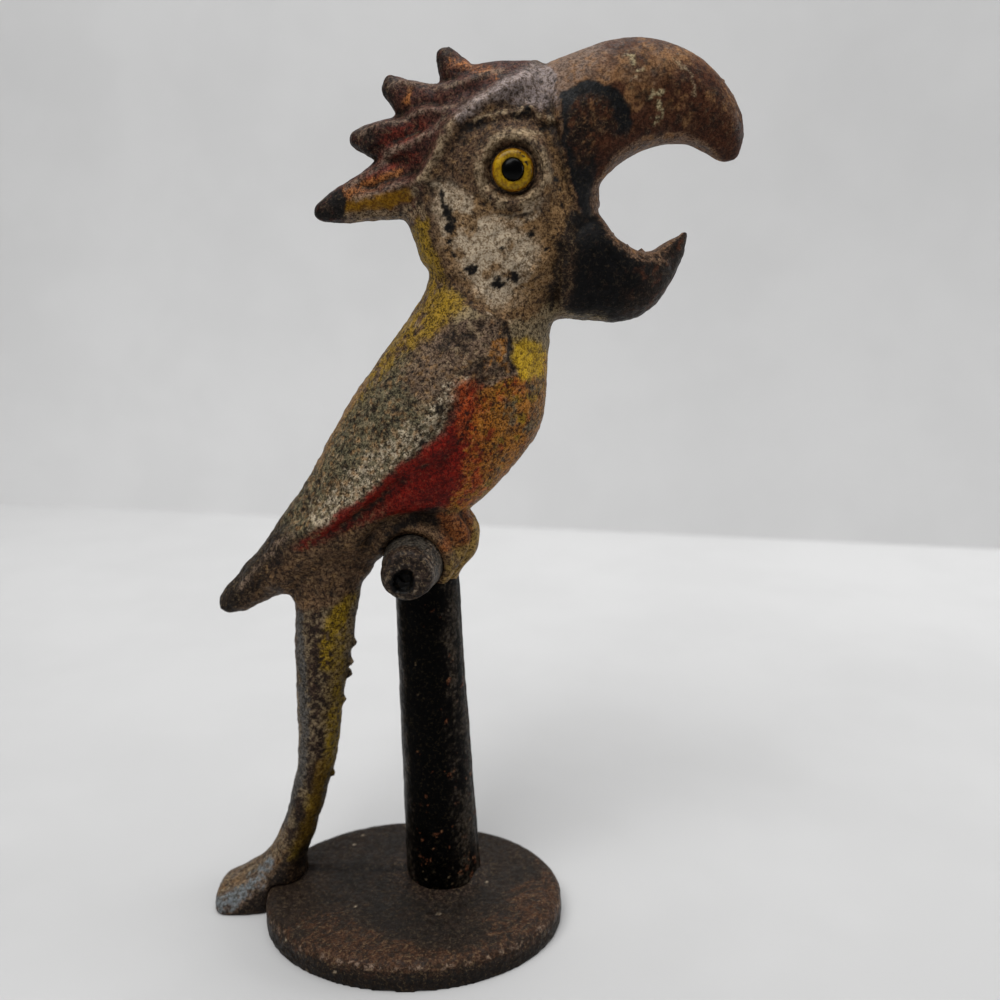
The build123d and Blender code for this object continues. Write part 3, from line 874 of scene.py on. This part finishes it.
def paint_wing(coat):
    """Paints the wing olive and white, under a bare brown shoulder and down to a dark tip."""
    coat.patch("olive", WING_AREA, 1.6)
    wing = step(-0.5, 1.5, inside(coat.side, WING_AREA))
    coat.mottle(wing, ("dirt", 1.1, 0.7, 134), ("dirty_cream", 0.7, 0.45, 135))
    coat.mottle(wing * step(26, 32, coat.side[:, 1] - BAR[1]), ("neck_yellow", 1.2, 0.3, 136))
    coat.patch("shoulder", BARE_SHOULDER, 0.5, 0.95)
    coat.patch("shoulder", body((2, 33), (8, 34), (11, 28), (8, 24.5), (3, 24), (-1, 28)), 1.4, 0.8)
    bare = step(-0.4, 0.6, inside(coat.side, BARE_SHOULDER))
    coat.mottle(bare, ("dirty_cream", 0.6, 0.55, 137), ("dirt", 1.6, 0.6, 138))
    coat.mottle(bare * step(9, 13, coat.side[:, 0] - BAR[0]), ("breast", 1.0, 0.5, 139))
    # Painted shadow in black along the front edge of the bare shoulder, cast by the thick paint beside it
    line = body((12.4, 36.2), (13.8, 35.4), (14.4, 33.6), (14.5, 31), (14.6, 29))
    coat.stroke("black", line, 0.5, 0.35, 0.9)
    coat.spots("dirt", body((6.6, 33.6), (8, 32.6), (9.4, 29.6), (9, 27.6)), 1.2, 0.7, 0.7)
    line = body((6.5, 26), (4.4, 23.6), (3.4, 21.6), (-2.1, 17.6), (-7, 13.4), (-10.5, 9.8), (-13, 7.6))
    coat.stroke("wing_white", line, 2.0, 2.8, 0.62, 0.9)
    coat.mottle(wing, ("tan", 0.6, 0.5, 144))
    coat.spots("black", body((6.4, 22.6), (4.4, 23.8), (7, 24), (1.9, 19)), 0.9, 0.85, 0.6)
    # Painted highlight in tan along the back edge of the wing
    coat.stroke("tan", body((-14.6, 14.2), (-11.6, 19.6), (-9.2, 23.4), (-7, 27)), 0.8, 0.7, 0.8)
    coat.stroke("wing_tip", body((-20, 3.4), (-26, -3), (-30, -8)), 4.5, 2.0, 0.95)
    # Painted highlight along the swollen lower edge of the wing, and painted shade in a dark line just under
    # it
    coat.stroke("ridge_grey", body((-17, 4.9), (-19.8, 3), (-24.8, -2), (-27, -4.8)), 0.5, 0.5, 0.6)
    coat.stroke("tail_dark", body((-16.5, 3.4), (-20.2, 0.9), (-23.4, -2.2), (-25.8, -4.9)), 0.9, 0.5, 0.7)


def paint_band(coat):
    """Paints the red band under the wing, which turns orange towards the breast."""
    band = body((7.2, 26), (7.3, 24.1), (4.6, 20.2), (-1.2, 15.7), (-5.4, 11.9), (-10.2, 8.5), (-15, 4.6),
                (-17.5, 2.4), (-11.5, 4.6), (-6.4, 6.9), (-1.7, 7.6), (3.9, 8.4), (6.8, 11), (8.7, 16.7),
                (9.2, 24), (9, 26.4))
    outline = body((6.8, 27.2), (10, 27.5), (11, 22), (10.5, 15), (8, 10), (5, 8.4), (5, 15))
    coat.patch("red_orange", outline, 1.4, 0.55)
    coat.patch("red", band, 0.9, stipple=0.6)
    coat.stroke("red_orange", body((8, 26.2), (7.9, 23), (7.6, 20)), 1.6, 1.0, 0.85)
    coat.stroke("red_orange", body((9.4, 21), (9.2, 16), (7.6, 11)), 2.2, 1.8, 0.6, 0.8)
    coat.stroke("breast", body((9.6, 21), (9.4, 15), (7.4, 9.8)), 1.8, 1.6, 0.5, 0.9)
    mixed = step(2.4, 0.6, along(coat.side, body((10, 25), (10.4, 20), (9.6, 14.5), (7.6, 10)))[0])
    coat.mottle(mixed, ("red_orange", 1.3, 0.9, 147), ("red", 0.8, 0.5, 148))
    # Painted shade in a darker red along the crease under the wing's swollen edge
    line = body((5, 17.6), (2.4, 15), (-1.6, 12.6), (-6.5, 9.2), (-12, 5.6), (-16, 3.4))
    coat.stroke("red_in_shade", line, 1.4, 1.2, 0.3)


def paint_belly(coat):
    """Paints the dirty underside between the wing and the toes, with painted shadow under the belly's
    overhang above the bar.
    """
    coat.patch("vent", body((-9, 6.4), (-4, 7.6), (-3.6, 10), (-7.6, 9)), 0.9, 0.45)
    below = step(-1, 1, inside(coat.side, body((-30, -10), (-14, -7), (-5, -3), (2, 6), (-6, 8), (-20, 2))))
    coat.mottle(below, ("tan", 0.8, 0.4, 140), ("iron", 1.0, 0.5, 141))
    # Painted shadow in black under the belly's overhang, over the toes above the bar
    outline = body((-5.5, 1), (-3, 6), (0, 8.2), (4, 8.8), (7, 7.8), (5, 6), (0, 6), (-4, 3))
    coat.patch("black", outline, 0.9, 0.85)
    coat.stroke("brown", body((-12, 1.5), (-9, -1), (-8, -4)), 3.4, 2.0, 0.6)


def paint_toes(coat):
    """Paints the toes that wrap over the perch bar, red above and yellow below."""
    coat.patch("toe_yellow", body((5.2, 8), (9.4, 8), (11.5, 4.4), (10.6, 1.6), (6, 2.2), (5, 5)), 0.9)
    coat.patch("toe_red", body((4.2, 8), (8.2, 7.4), (8.8, 4.4), (7.4, 1.6), (5, 2.2), (4, 5)), 0.9, 0.9)
    low_toe = body((6, 2.4), (10.8, 2.4), (9.5, -2), (6.5, -5), (4, -5))
    coat.patch("toe_yellow", low_toe, 0.9)
    coat.patch("brown", low_toe, 0.9, 0.4)


def paint_tail(coat):
    """Paints the long tail in faded pink and yellow with a blue-grey back, and brown low down."""
    middle = body((-13, -5), (-14.2, -15.2), (-15.2, -25), (-16, -35.1), (-18.7, -43.8), (-22.2, -49.4))
    coat.stroke("tail_pink", middle, 9.0, 1.0)
    tail = step(6, 4.5, along(coat.side, middle)[0])
    coat.mottle(tail, ("tail_dark", 1.3, 0.75, 142), ("dirty_cream", 0.7, 0.4, 143))
    for line, width, soft, amount, stipple in (
        (body((-11.6, -10), (-12.6, -18), (-13.2, -27), (-14.6, -36), (-17.6, -43)), 2.8, 1.4, 0.55, 0.5),
        (body((-10.6, -5.4), (-11.9, -8.6), (-13.4, -12.2), (-14, -17)), 2.4, 0.9, 0.95, 0.4),
        (body((-13.2, -24.5), (-13.8, -30), (-14.6, -36)), 1.6, 1.2, 0.6, 0.5),
        (body((-15.6, -36.5), (-16.9, -41), (-19.4, -47.5), (-21.5, -51)), 2.2, 1.0, 0.85, 0.5),
    ):
        coat.stroke("tail_yellow", line, width, soft, amount, stipple)
    line = body((-15.6, -9), (-15.4, -14), (-15.6, -18), (-16.2, -24), (-16, -33))
    coat.stroke("tail_dark", line, 1.5, 1.2, 0.75, 0.9)
    coat.stroke("tail_dark", body((-13.4, -15), (-13.8, -20), (-14.4, -24)), 1.6, 1.0, 0.55, 0.9)
    line = body((-18.2, -5.6), (-17.9, -18.8), (-18.3, -32.2), (-20.2, -39.1), (-23, -46))
    coat.stroke("tail_blue", line, 1.6, 0.6, 0.95)
    spine = body((-14.4, -8), (-14.6, -16), (-15.6, -24), (-16.2, -33), (-18.6, -41), (-20.6, -47))
    coat.mottle(step(1.8, 0.8, along(coat.side, spine)[0]), ("tail_dark", 2.6, 0.95, 150))
    front = body((-15, -36), (-16.6, -43), (-18.4, -48.5), (-19.6, -53))
    coat.stroke("shade", front, 1.2, 1.6, 0.6, 0.5)
    low = coat.points[:, 2]
    foot = step(10.5, 8.0, low + 0.3 * (coat.points[:, 0] - BAR[0] + 22))
    coat.lay("vent", foot * 0.9)
    coat.lay("shade", 0.6 * step(30.0, 8.0, low), 0.4)
    # Tail yellow in painted shade, laid back over the darkened lower part of the tail
    coat.stroke("tail_dim", body((-15.4, -34), (-16.2, -38), (-17.2, -42), (-19, -47.6)), 1.8, 0.9, 0.8, 0.3)


def paint_foot(coat):
    """Paints the flat end of the tail, tan on top with a worn blue edge and dark under it."""
    x, z = (coat.points[:, [0, 2]] - BAR).T
    foot = step(-20.0, -22.5, x) * step(-44.0, -46.5, z)
    edge = body((-34, -59.4), (-32.4, -58.7), (-29.7, -57.2), (-25.9, -54.3), (-24.2, -52.1), (-21.7, -48.1))
    gap, _, hand = along(coat.side, edge)
    coat.lay("brown", 0.7 * foot, 0.5)
    coat.mottle(foot, ("tan", 2.0, 0.6, 151))
    coat.stroke("tail_pink", edge + (-0.6, 1.0), 2.4, 1.2, 0.6, 0.8)
    coat.stroke("foot_blue", edge[:5] + (-0.3, 0.6), 1.4, 1.2, 0.7, 0.6)
    coat.stroke("shade", body((-18.4, -49.6), (-20.4, -53)), 2.6, 1.8, 0.6, 0.4)
    below = step(0.2, 0.9, gap) * (hand < 0) * step(-32.5, -30.5, x)
    coat.lay("black", 0.8 * below * step(-20.0, -22.5, x) * step(-46.0, -48.5, z), 0.4)


def painted(points, faces):
    """Returns the colour of the bird's paint at each vertex."""
    normals = normals_of(points, faces)
    coat = Coat(points, "brown")
    for paint in (paint_tail, paint_breast, paint_wing, paint_band, paint_belly, paint_toes, paint_crest,
                  paint_face, paint_brow, paint_flakes, paint_beak, paint_cere, paint_jaw):
        paint(coat)
    paint_mouth(coat, normals)
    paint_foot(coat)
    return shaded(coat, points, faces)


def shaded(coat, points, faces):
    """Darkens the hollows with dirt and painted shade, brightens the ridges as rubbed wear with a painted
    highlight, and returns the paint's fields.
    """
    hollow = hollowness(points, faces, 8)
    # Dirt and painted shade in the hollows; the ridges are lighter as rubbed wear and painted highlight
    coat.lay("dirt", 0.8 * step(0.015, 0.10, hollow + 0.02 * coat.grain), 0.4)
    rubbed_and_lit = step(-0.03, -0.12, hollow)[:, None]
    return coat.colour * (1 + 0.35 * rubbed_and_lit), coat.pits * (1 + 0.35 * rubbed_and_lit), coat.crust


# ---- Materials ----
class Nodes:
    """Adds shader nodes to a material, one short line for each."""

    def __init__(self, name, roughness):
        """Makes a material with its principled shader and object coordinates."""
        self.material = bpy.data.materials.new(name)
        self.material.use_nodes = True
        self.tree = self.material.node_tree
        self.shader = self.tree.nodes["Principled BSDF"]
        self.shader.inputs["Roughness"].default_value = roughness
        self.place = self.tree.nodes.new("ShaderNodeTexCoord").outputs["Object"]

    def link(self, source, socket):
        """Joins an output to an input, or sets the input to a plain value."""
        if isinstance(source, (int, float, tuple)):
            socket.default_value = source
        else:
            self.tree.links.new(source, socket)

    def add(self, kind, output, inputs, **settings):
        """Adds a node, sets it up, fills its inputs and returns one of its outputs."""
        node = self.tree.nodes.new("ShaderNode" + kind)
        for key, value in settings.items():
            setattr(node, key, value)
        for key, source in inputs.items():
            self.link(source, node.inputs[key])
        return node.outputs[output]

    def noise(self, size, detail=3.0, rough=0.6):
        """Noise from 0 to 1 with features about size millimetres across."""
        inputs = {"Vector": self.place, "Scale": 1 / (size * MM), "Detail": detail, "Roughness": rough}
        return self.add("TexNoise", "Fac", inputs)

    def remap(self, value, low, high, new_low=0.0, new_high=1.0):
        """Stretches a range of values, clamped, to a new one."""
        inputs = {"Value": value, "From Min": low, "From Max": high, "To Min": new_low, "To Max": new_high}
        return self.add("MapRange", "Result", inputs, interpolation_type="SMOOTHSTEP")

    def math(self, kind, first, second):
        """Combines two values."""
        return self.add("Math", "Value", {0: first, 1: second}, operation=kind)

    def mix(self, amount, first, second):
        """Mixes two colours."""
        return self.add("Mix", "Result", {"Factor": amount, "A": first, "B": second}, data_type="RGBA")

    def scaled(self, colour, value):
        """Brightens or darkens a colour by a value."""
        return self.add("VectorMath", "Vector", {0: colour, "Scale": value}, operation="SCALE")

    def attribute(self, name, output="Color"):
        """Reads what was painted on the mesh."""
        return self.add("Attribute", output, {}, attribute_name=name)

    def bump(self, height, depth):
        """Bumps the surface by a height from 0 to 1 that is depth millimetres deep."""
        normal = self.add("Bump", "Normal", {"Distance": depth * MM, "Height": height})
        self.link(normal, self.shader.inputs["Normal"])

    def finish(self, colour, roughness=None):
        """Sets the colour and roughness and returns the material."""
        self.link(colour, self.shader.inputs["Base Color"])
        if roughness is not None:
            self.link(roughness, self.shader.inputs["Roughness"])
        return self.material


def rgba(name):
    """Returns a colour from the table for a shader socket."""
    return (*COLOURS[name], 1.0)


def worn(name, grain_size, rough_low, rough_high, specular, crust_depth=0.3):
    """Old paint on a sandy casting: light grains beside dark pits, and thin pale scratches."""
    m = Nodes(name, 0.5)
    paint, crust = m.attribute("paint"), m.attribute("crust", "Fac")
    fine = m.noise(grain_size, 2.0, 0.6)
    rugged = m.noise(0.55, 4.0, 0.62)
    height = m.math("ADD", m.math("MULTIPLY", fine, 0.55), m.math("MULTIPLY", rugged, 0.45))
    colour = m.mix(m.remap(height, 0.42, 0.57), m.attribute("pits"), m.scaled(paint, 1.4))
    colour = m.scaled(colour, m.remap(m.noise(1.6, 3.0, 0.6), 0.3, 0.7, 0.78, 1.3))
    hole = m.math("MULTIPLY", m.remap(rugged, 0.41, 0.35), crust)
    colour = m.mix(hole, colour, rgba("black"))
    thread = m.math("ABSOLUTE", m.math("SUBTRACT", m.noise(0.9, 3.0, 0.6), 0.5), 0)
    thread = m.math("MULTIPLY", m.remap(thread, 0.035, 0.01), m.remap(rugged, 0.49, 0.58))
    pale = m.mix(0.4, m.scaled(paint, 2.6), rgba("fleck"))
    colour = m.mix(m.math("MULTIPLY", thread, crust), colour, pale)
    relief = m.math("ADD", m.math("MULTIPLY", fine, 0.22), m.math("MULTIPLY", rugged, crust))
    m.bump(relief, crust_depth)
    m.shader.inputs["Specular IOR Level"].default_value = specular
    return m.finish(colour, m.remap(m.noise(0.8), 0.35, 0.65, rough_low, rough_high))


def glossy(name, colour, roughness):
    """Smooth enamel with a little waviness."""
    m = Nodes(name, roughness)
    m.bump(m.noise(0.7), 0.02)
    m.shader.inputs["Specular IOR Level"].default_value = 0.08
    return m.finish(rgba(colour))


# ---- Pieces ----
def fine_mesh(node, voxel):
    """Returns a finely remeshed copy of one CAD node, with its sharp edges barely rounded."""
    points, faces = remesh(*cad_mesh(node), voxel)
    return smooth(points, faces, 3, keep=0.9), faces


def painted_piece(node, points, faces, material, coat):
    """Makes a piece that wears a coat."""
    piece(node, points, faces, material, paint=coat.colour, pits=coat.pits, crust=coat.crust)


def make_bird():
    """Makes the two castings of the bird."""
    points, faces = bird_mesh()
    paint = painted(points, faces)
    material = worn("painted_bird", 0.25, 0.42, 0.7, 0.11)
    for name, half in zip(("bird_right_half", "bird_left_half"), halves(points, faces, *paint)):
        half_points, half_faces, colour, pits, crust = half
        piece(name, half_points, half_faces, material, paint=colour, pits=pits, crust=crust)


def make_eyes():
    """Makes the yellow rings and the black pin whose domed ends are the pupils."""
    material = worn("eye_yellow", 0.3, 0.3, 0.5, 0.2, 0.1)
    for node in ("right_eye_ring", "left_eye_ring"):
        points, faces = fine_mesh(node, 0.09)
        radius = far(points[:, [0, 2]], EYE)
        coat = Coat(points, "eye_yellow")
        # Painted shade in orange round the outer edge of the ring
        coat.lay("eye_orange_shade", 0.7 * step(EYE_RADIUS - 0.45, EYE_RADIUS, radius), 0.6)
        coat.spots("black", head((1.5, 1.3), (1.9, 0.6), (1.2, 1.9)), 0.28)
        lumps = (0.03 * cloud(points, 0.9, 61))[:, None] * normals_of(points, faces)
        painted_piece(node, points + lumps, faces, material, coat)
    points, faces = fine_mesh("eye_pin", 0.14)
    radius = far(points[:, [0, 2]], EYE)
    dome = 0.35 * np.clip(1 - (radius / 1.5) ** 2, 0, 1) * step(5.0, 9.0, np.abs(points[:, 1]))
    points[:, 1] += np.sign(points[:, 1]) * dome
    piece("eye_pin", points, faces, glossy("pupil_black", "post_black", 0.25))


def make_bar():
    """Makes the perch bar, with a worn crater in each rounded end."""
    points, faces = fine_mesh("perch_bar", 0.16)
    out = np.abs(points[:, 1])
    x, z = (points[:, [0, 2]] - BAR).T
    points[:, 0] -= 0.06 * np.clip(out - 5.0, 0, None) * (points[:, 1] < 0)
    crater = np.hypot(x + 0.5, z + 0.9) + 0.35 * cloud(points, 1.1, 71)
    bowl = step(1.75, 0.9, crater) * step(BAR_HIGH[1] - 1.8, BAR_HIGH[1] - 0.3, out)
    points[:, 1] -= np.sign(points[:, 1]) * bowl
    normals = normals_of(points, faces)
    points += (0.07 * cloud(points, 1.6, 72) + 0.05 * cloud(points, 0.7, 73))[:, None] * normals
    coat = Coat(points, "bar_blue")
    end = step(BAR_HIGH[1] - 3.4, BAR_HIGH[1] - 1.0, out)
    coat.lay("bar_brown", end, 0.8)
    # A painted highlight round the rim of each crater
    coat.lay("bar_worn", 0.5 * bell(crater, 0.5, 2.4) * end, 0.9)
    coat.lay("bar_worn", 0.3 * step(0.2, 0.8, normals[:, 0]), 0.9)
    # Painted shade filling the bottom of each crater in black
    coat.lay("post_black", step(2.1, 1.6, crater) * end, 0.3)
    painted_piece("perch_bar", points, faces, worn("bar_iron", 0.3, 0.35, 0.65, 0.14), coat)


def make_post():
    """Makes the black post, glossy where the paint is whole, with a painted grey sheen down its sides, and
    rusty towards its foot.
    """
    points, faces = fine_mesh("perch_post", 0.26)
    normals = normals_of(points, faces)
    forwards = normals[:, 0]
    seam = bell(points[:, 1], 0.5) * step(0.5, 0.9, np.abs(forwards))
    lift = 0.10 * cloud(points, 4.0, 81) + 0.03 * cloud(points, 1.2, 82) + 0.16 * seam
    points = points + lift[:, None] * normals
    height = points[:, 2] / POST_HIGH[2]
    points[:, 0] += 0.25 * step(0.9, 0.2, height) * step(0.0, 0.6, forwards)
    points[:, 2] = np.maximum(points[:, 2], POST_LOW[2])
    coat = Coat(points, "post_black")
    # Painted sheen in grey down both sides of the post, streaked along it
    sheen_streaks = 0.5 + 0.6 * cloud(points * (1, 1, 0.2), 1.6, 85)
    coat.lay("post_sheen", 0.75 * sheen_streaks * (step(0.1, 0.8, forwards) + step(-0.5, -1.0, forwards)), 0.8)
    chipped = cloud(points, 1.2, 183) - 0.45 * step(0.1, 0.7, height) + 0.15 * coat.grain + 0.14 * forwards
    coat.lay("rust", 0.55 * step(0.5, 0.65, chipped), 0.8)
    # More painted sheen, in flecks, half way up the side that faces +X
    half_way = step(0.55, 0.4, np.abs(height - 0.5))
    coat.mottle(half_way * step(0.2, 0.6, forwards), ("post_sheen", 1.2, 0.5, 86))
    specks = step(0.24, 0.12, dots(points, 2.2, 84)) * step(0.0, 0.3, cloud(points, 5, 87))
    coat.lay("dirty_cream", 0.6 * specks, 0.4)
    painted_piece("perch_post", points, faces, worn("post_black", 0.4, 0.3, 0.5, 0.03, 0.2), coat)


def base_mesh():
    """Returns the foot, raised behind its seam and with iron spilt by the post, and where its top is."""
    points, faces = fine_mesh("base_disc", 0.36)
    normals = normals_of(points, faces)
    top = step(0.6, 0.9, normals[:, 2])
    behind_seam = step(0.1, 0.7, points[:, 1] + 0.15 * cloud(points, 2.0, 91)) * step(4.0, 2.0, points[:, 0])
    lift = 0.55 * top * behind_seam + 0.10 * cloud(points, 5.0, 92) + 0.05 * cloud(points, 1.5, 93)
    points = points + (lift * step(0.3, 1.2, points[:, 2]))[:, None] * normals
    x, y, _ = points.T
    spill = np.hypot(x - POST_LOW[0] - 11.6, 0.7 * (y + 1.5)) + 0.3 * cloud(points, 1.5, 100)
    points[:, 2] += 1.5 * top * step(2.4, 0.6, spill)
    return points, faces, top


def make_base():
    """Makes the oval foot, worn to brown iron with rust towards its rim."""
    points, faces, top = base_mesh()
    x, y, z = points.T
    centred = 2 * points - BASE_LOW - BASE_HIGH
    ahead, aside, _ = (centred / (BASE_HIGH - BASE_LOW)).T
    edge = np.hypot(ahead, aside)
    coat = Coat(points, "base_dark")
    patchy = cloud(points, 6.0, 94)
    coat.lay("base_brown", step(0.35, 0.85, edge + 0.25 * patchy), 0.7)
    rusty = step(0.6, 0.95, edge + 0.3 * patchy) * step(0.2, -0.6, aside - 0.5 * ahead)
    coat.lay("base_rust", 0.75 * rusty, 0.9)
    coat.mottle(top * step(0.9, 0.5, edge), ("base_brown", 1.4, 0.6, 97))
    below_top = z - BASE_HIGH[2]
    # A painted highlight along the top of the rim, and painted shade down the side below it, over rust
    coat.lay("ridge_grey", 0.35 * bell(below_top, 0.5, -0.9) * (1 - top), 0.9)
    coat.lay("dirt", 0.85 * step(-1.0, -1.7, below_top + 0.2 * coat.grain), 0.5)
    coat.mottle(1 - top, ("base_rust", 1.2, 0.5, 99))
    coat.lay("shade", 0.9 * step(-1.6, -3.0, below_top + 0.2 * coat.grain), 0.5)
    specks = step(0.34, 0.16, dots(points, 2.6, 95)) * step(-0.2, 0.2, cloud(points, 4.0, 96))
    coat.lay("cream", 0.9 * specks, 0.2)
    # Painted shade on the foot round the bottom of the post
    coat.lay("iron", 0.8 * step(10.5, 6.5, np.hypot(x - POST_LOW[0] - 5.9, y)), 0.5)
    coat.lay("black", 0.9 * bell(y, 0.4, -0.1) * step(3.0, 1.0, x), 0.2)
    painted_piece("base_disc", points, faces, worn("foot_rust", 0.3, 0.45, 0.75, 0.15, 0.25), coat)


make_bird()
make_eyes()
make_bar()
make_post()
make_base()

# ---- Stage, measured in heights of the object ----
HEIGHT = CAD_BOX[1].z
CAMERA_PLACE = Vector((0.104, -1.122, 0.754))
CAMERA_TILT_DOWN = 12.4
FOCUS = Vector((0.1, -0.08, 0.5))
LAMP_AIM = Vector((0, 0, 0.55))
FLOOR_SIZE = 9
WALL_SIZE = 24
WALL_DISTANCE = 1.94
WALL_TURN = -10.8
LIGHT_FROM_ALL_ROUND = 0.13
PALE_SURROUNDINGS = 0.5


def plain_finish(name, shade, **fades):
    """Makes a plain matt material with a faint cloudiness, evened out against the fall of the light.

    Each fade goes along the plane's own X or Y. It holds where a change of shade starts and ends, and how
    bright it is at either end.
    """
    m = Nodes(name, 0.95)
    m.shader.inputs["Specular IOR Level"].default_value = 0.1
    pale, dim = ((tone, tone, tone, 1) for tone in (shade, 0.96 * shade))
    colour = m.mix(m.remap(m.noise(60.0), 0.35, 0.65), pale, dim)
    for axis, (start, end, first, last) in fades.items():
        place = m.add("SeparateXYZ", axis, {0: m.place})
        colour = m.scaled(colour, m.remap(place, start * HEIGHT, end * HEIGHT, first, last))
    return m.finish(colour)


def backdrop(name, size, material, place, rotation):
    """Adds a plane that isn't part of the object."""
    bpy.ops.mesh.primitive_plane_add(size=size * HEIGHT, location=Vector(place) * HEIGHT, rotation=rotation)
    made = bpy.context.object
    made.name = name
    made.data.materials.append(material)


def surroundings():
    """Lights the object faintly from all round, and looks pale where no wall stands behind it."""
    world = bpy.data.worlds.new("studio")
    bpy.context.scene.world = world
    world.use_nodes = True
    tree = world.node_tree
    background = tree.nodes["Background"]
    background.inputs["Color"].default_value = (1, 1, 1, 1)
    seen = tree.nodes.new("ShaderNodeLightPath").outputs["Is Camera Ray"]
    strength = tree.nodes.new("ShaderNodeMapRange")
    strength.inputs["To Min"].default_value = LIGHT_FROM_ALL_ROUND
    strength.inputs["To Max"].default_value = PALE_SURROUNDINGS
    tree.links.new(seen, strength.inputs["Value"])
    tree.links.new(strength.outputs["Result"], background.inputs["Strength"])


def stand(name, data, place):
    """Adds an object at a place."""
    made = bpy.data.objects.new(name, data)
    made.location = place * HEIGHT
    bpy.context.scene.collection.objects.link(made)
    return made


def lamp(name, place, size, power):
    """Adds a soft square light, turned to the object."""
    light = bpy.data.lights.new(name, "AREA")
    light.size = size * HEIGHT
    light.energy = power
    towards = (LAMP_AIM - Vector(place)) * HEIGHT
    stand(name, light, Vector(place)).rotation_euler = towards.to_track_quat("-Z", "Y").to_euler()


def camera():
    """Adds the camera, as wide as the photo's view and focused on the bird."""
    lens = bpy.data.cameras.new("camera")
    lens.lens = lens.sensor_width = 36
    lens.clip_start = 0.01
    lens.dof.use_dof = True
    lens.dof.focus_object = stand("focus", None, FOCUS)
    lens.dof.aperture_fstop = 22
    made = stand("camera", lens, CAMERA_PLACE)
    made.rotation_euler = (math.radians(90 - CAMERA_TILT_DOWN), 0, 0)
    bpy.context.scene.camera = made
    bpy.context.scene.view_settings.view_transform = "Standard"


def stage():
    """Makes the pale floor and wall, the soft lights and the camera."""
    floor_finish = plain_finish("pale_floor", 0.575, Y=(-0.3, 2.0, 0.87, 1.13))
    backdrop("floor", FLOOR_SIZE, floor_finish, (0, 0, 0), (0, 0, 0))
    wall_finish = plain_finish("pale_wall", 0.65, X=(-1.5, 1.5, 1.09, 0.91), Y=(-12.0, -10.5, 1.10, 0.87))
    upright = (math.pi / 2, 0, math.radians(WALL_TURN))
    backdrop("wall", WALL_SIZE, wall_finish, (0, WALL_DISTANCE, WALL_SIZE / 2), upright)
    surroundings()
    lamp("key", (-1.3, -2.1, 4.3), 2.9, 3.2)
    lamp("top", (0.6, 0.4, 4.6), 3.0, 2.0)
    lamp("side", (3.6, 0.4, 1.6), 1.6, 0.8)
    camera()


stage()
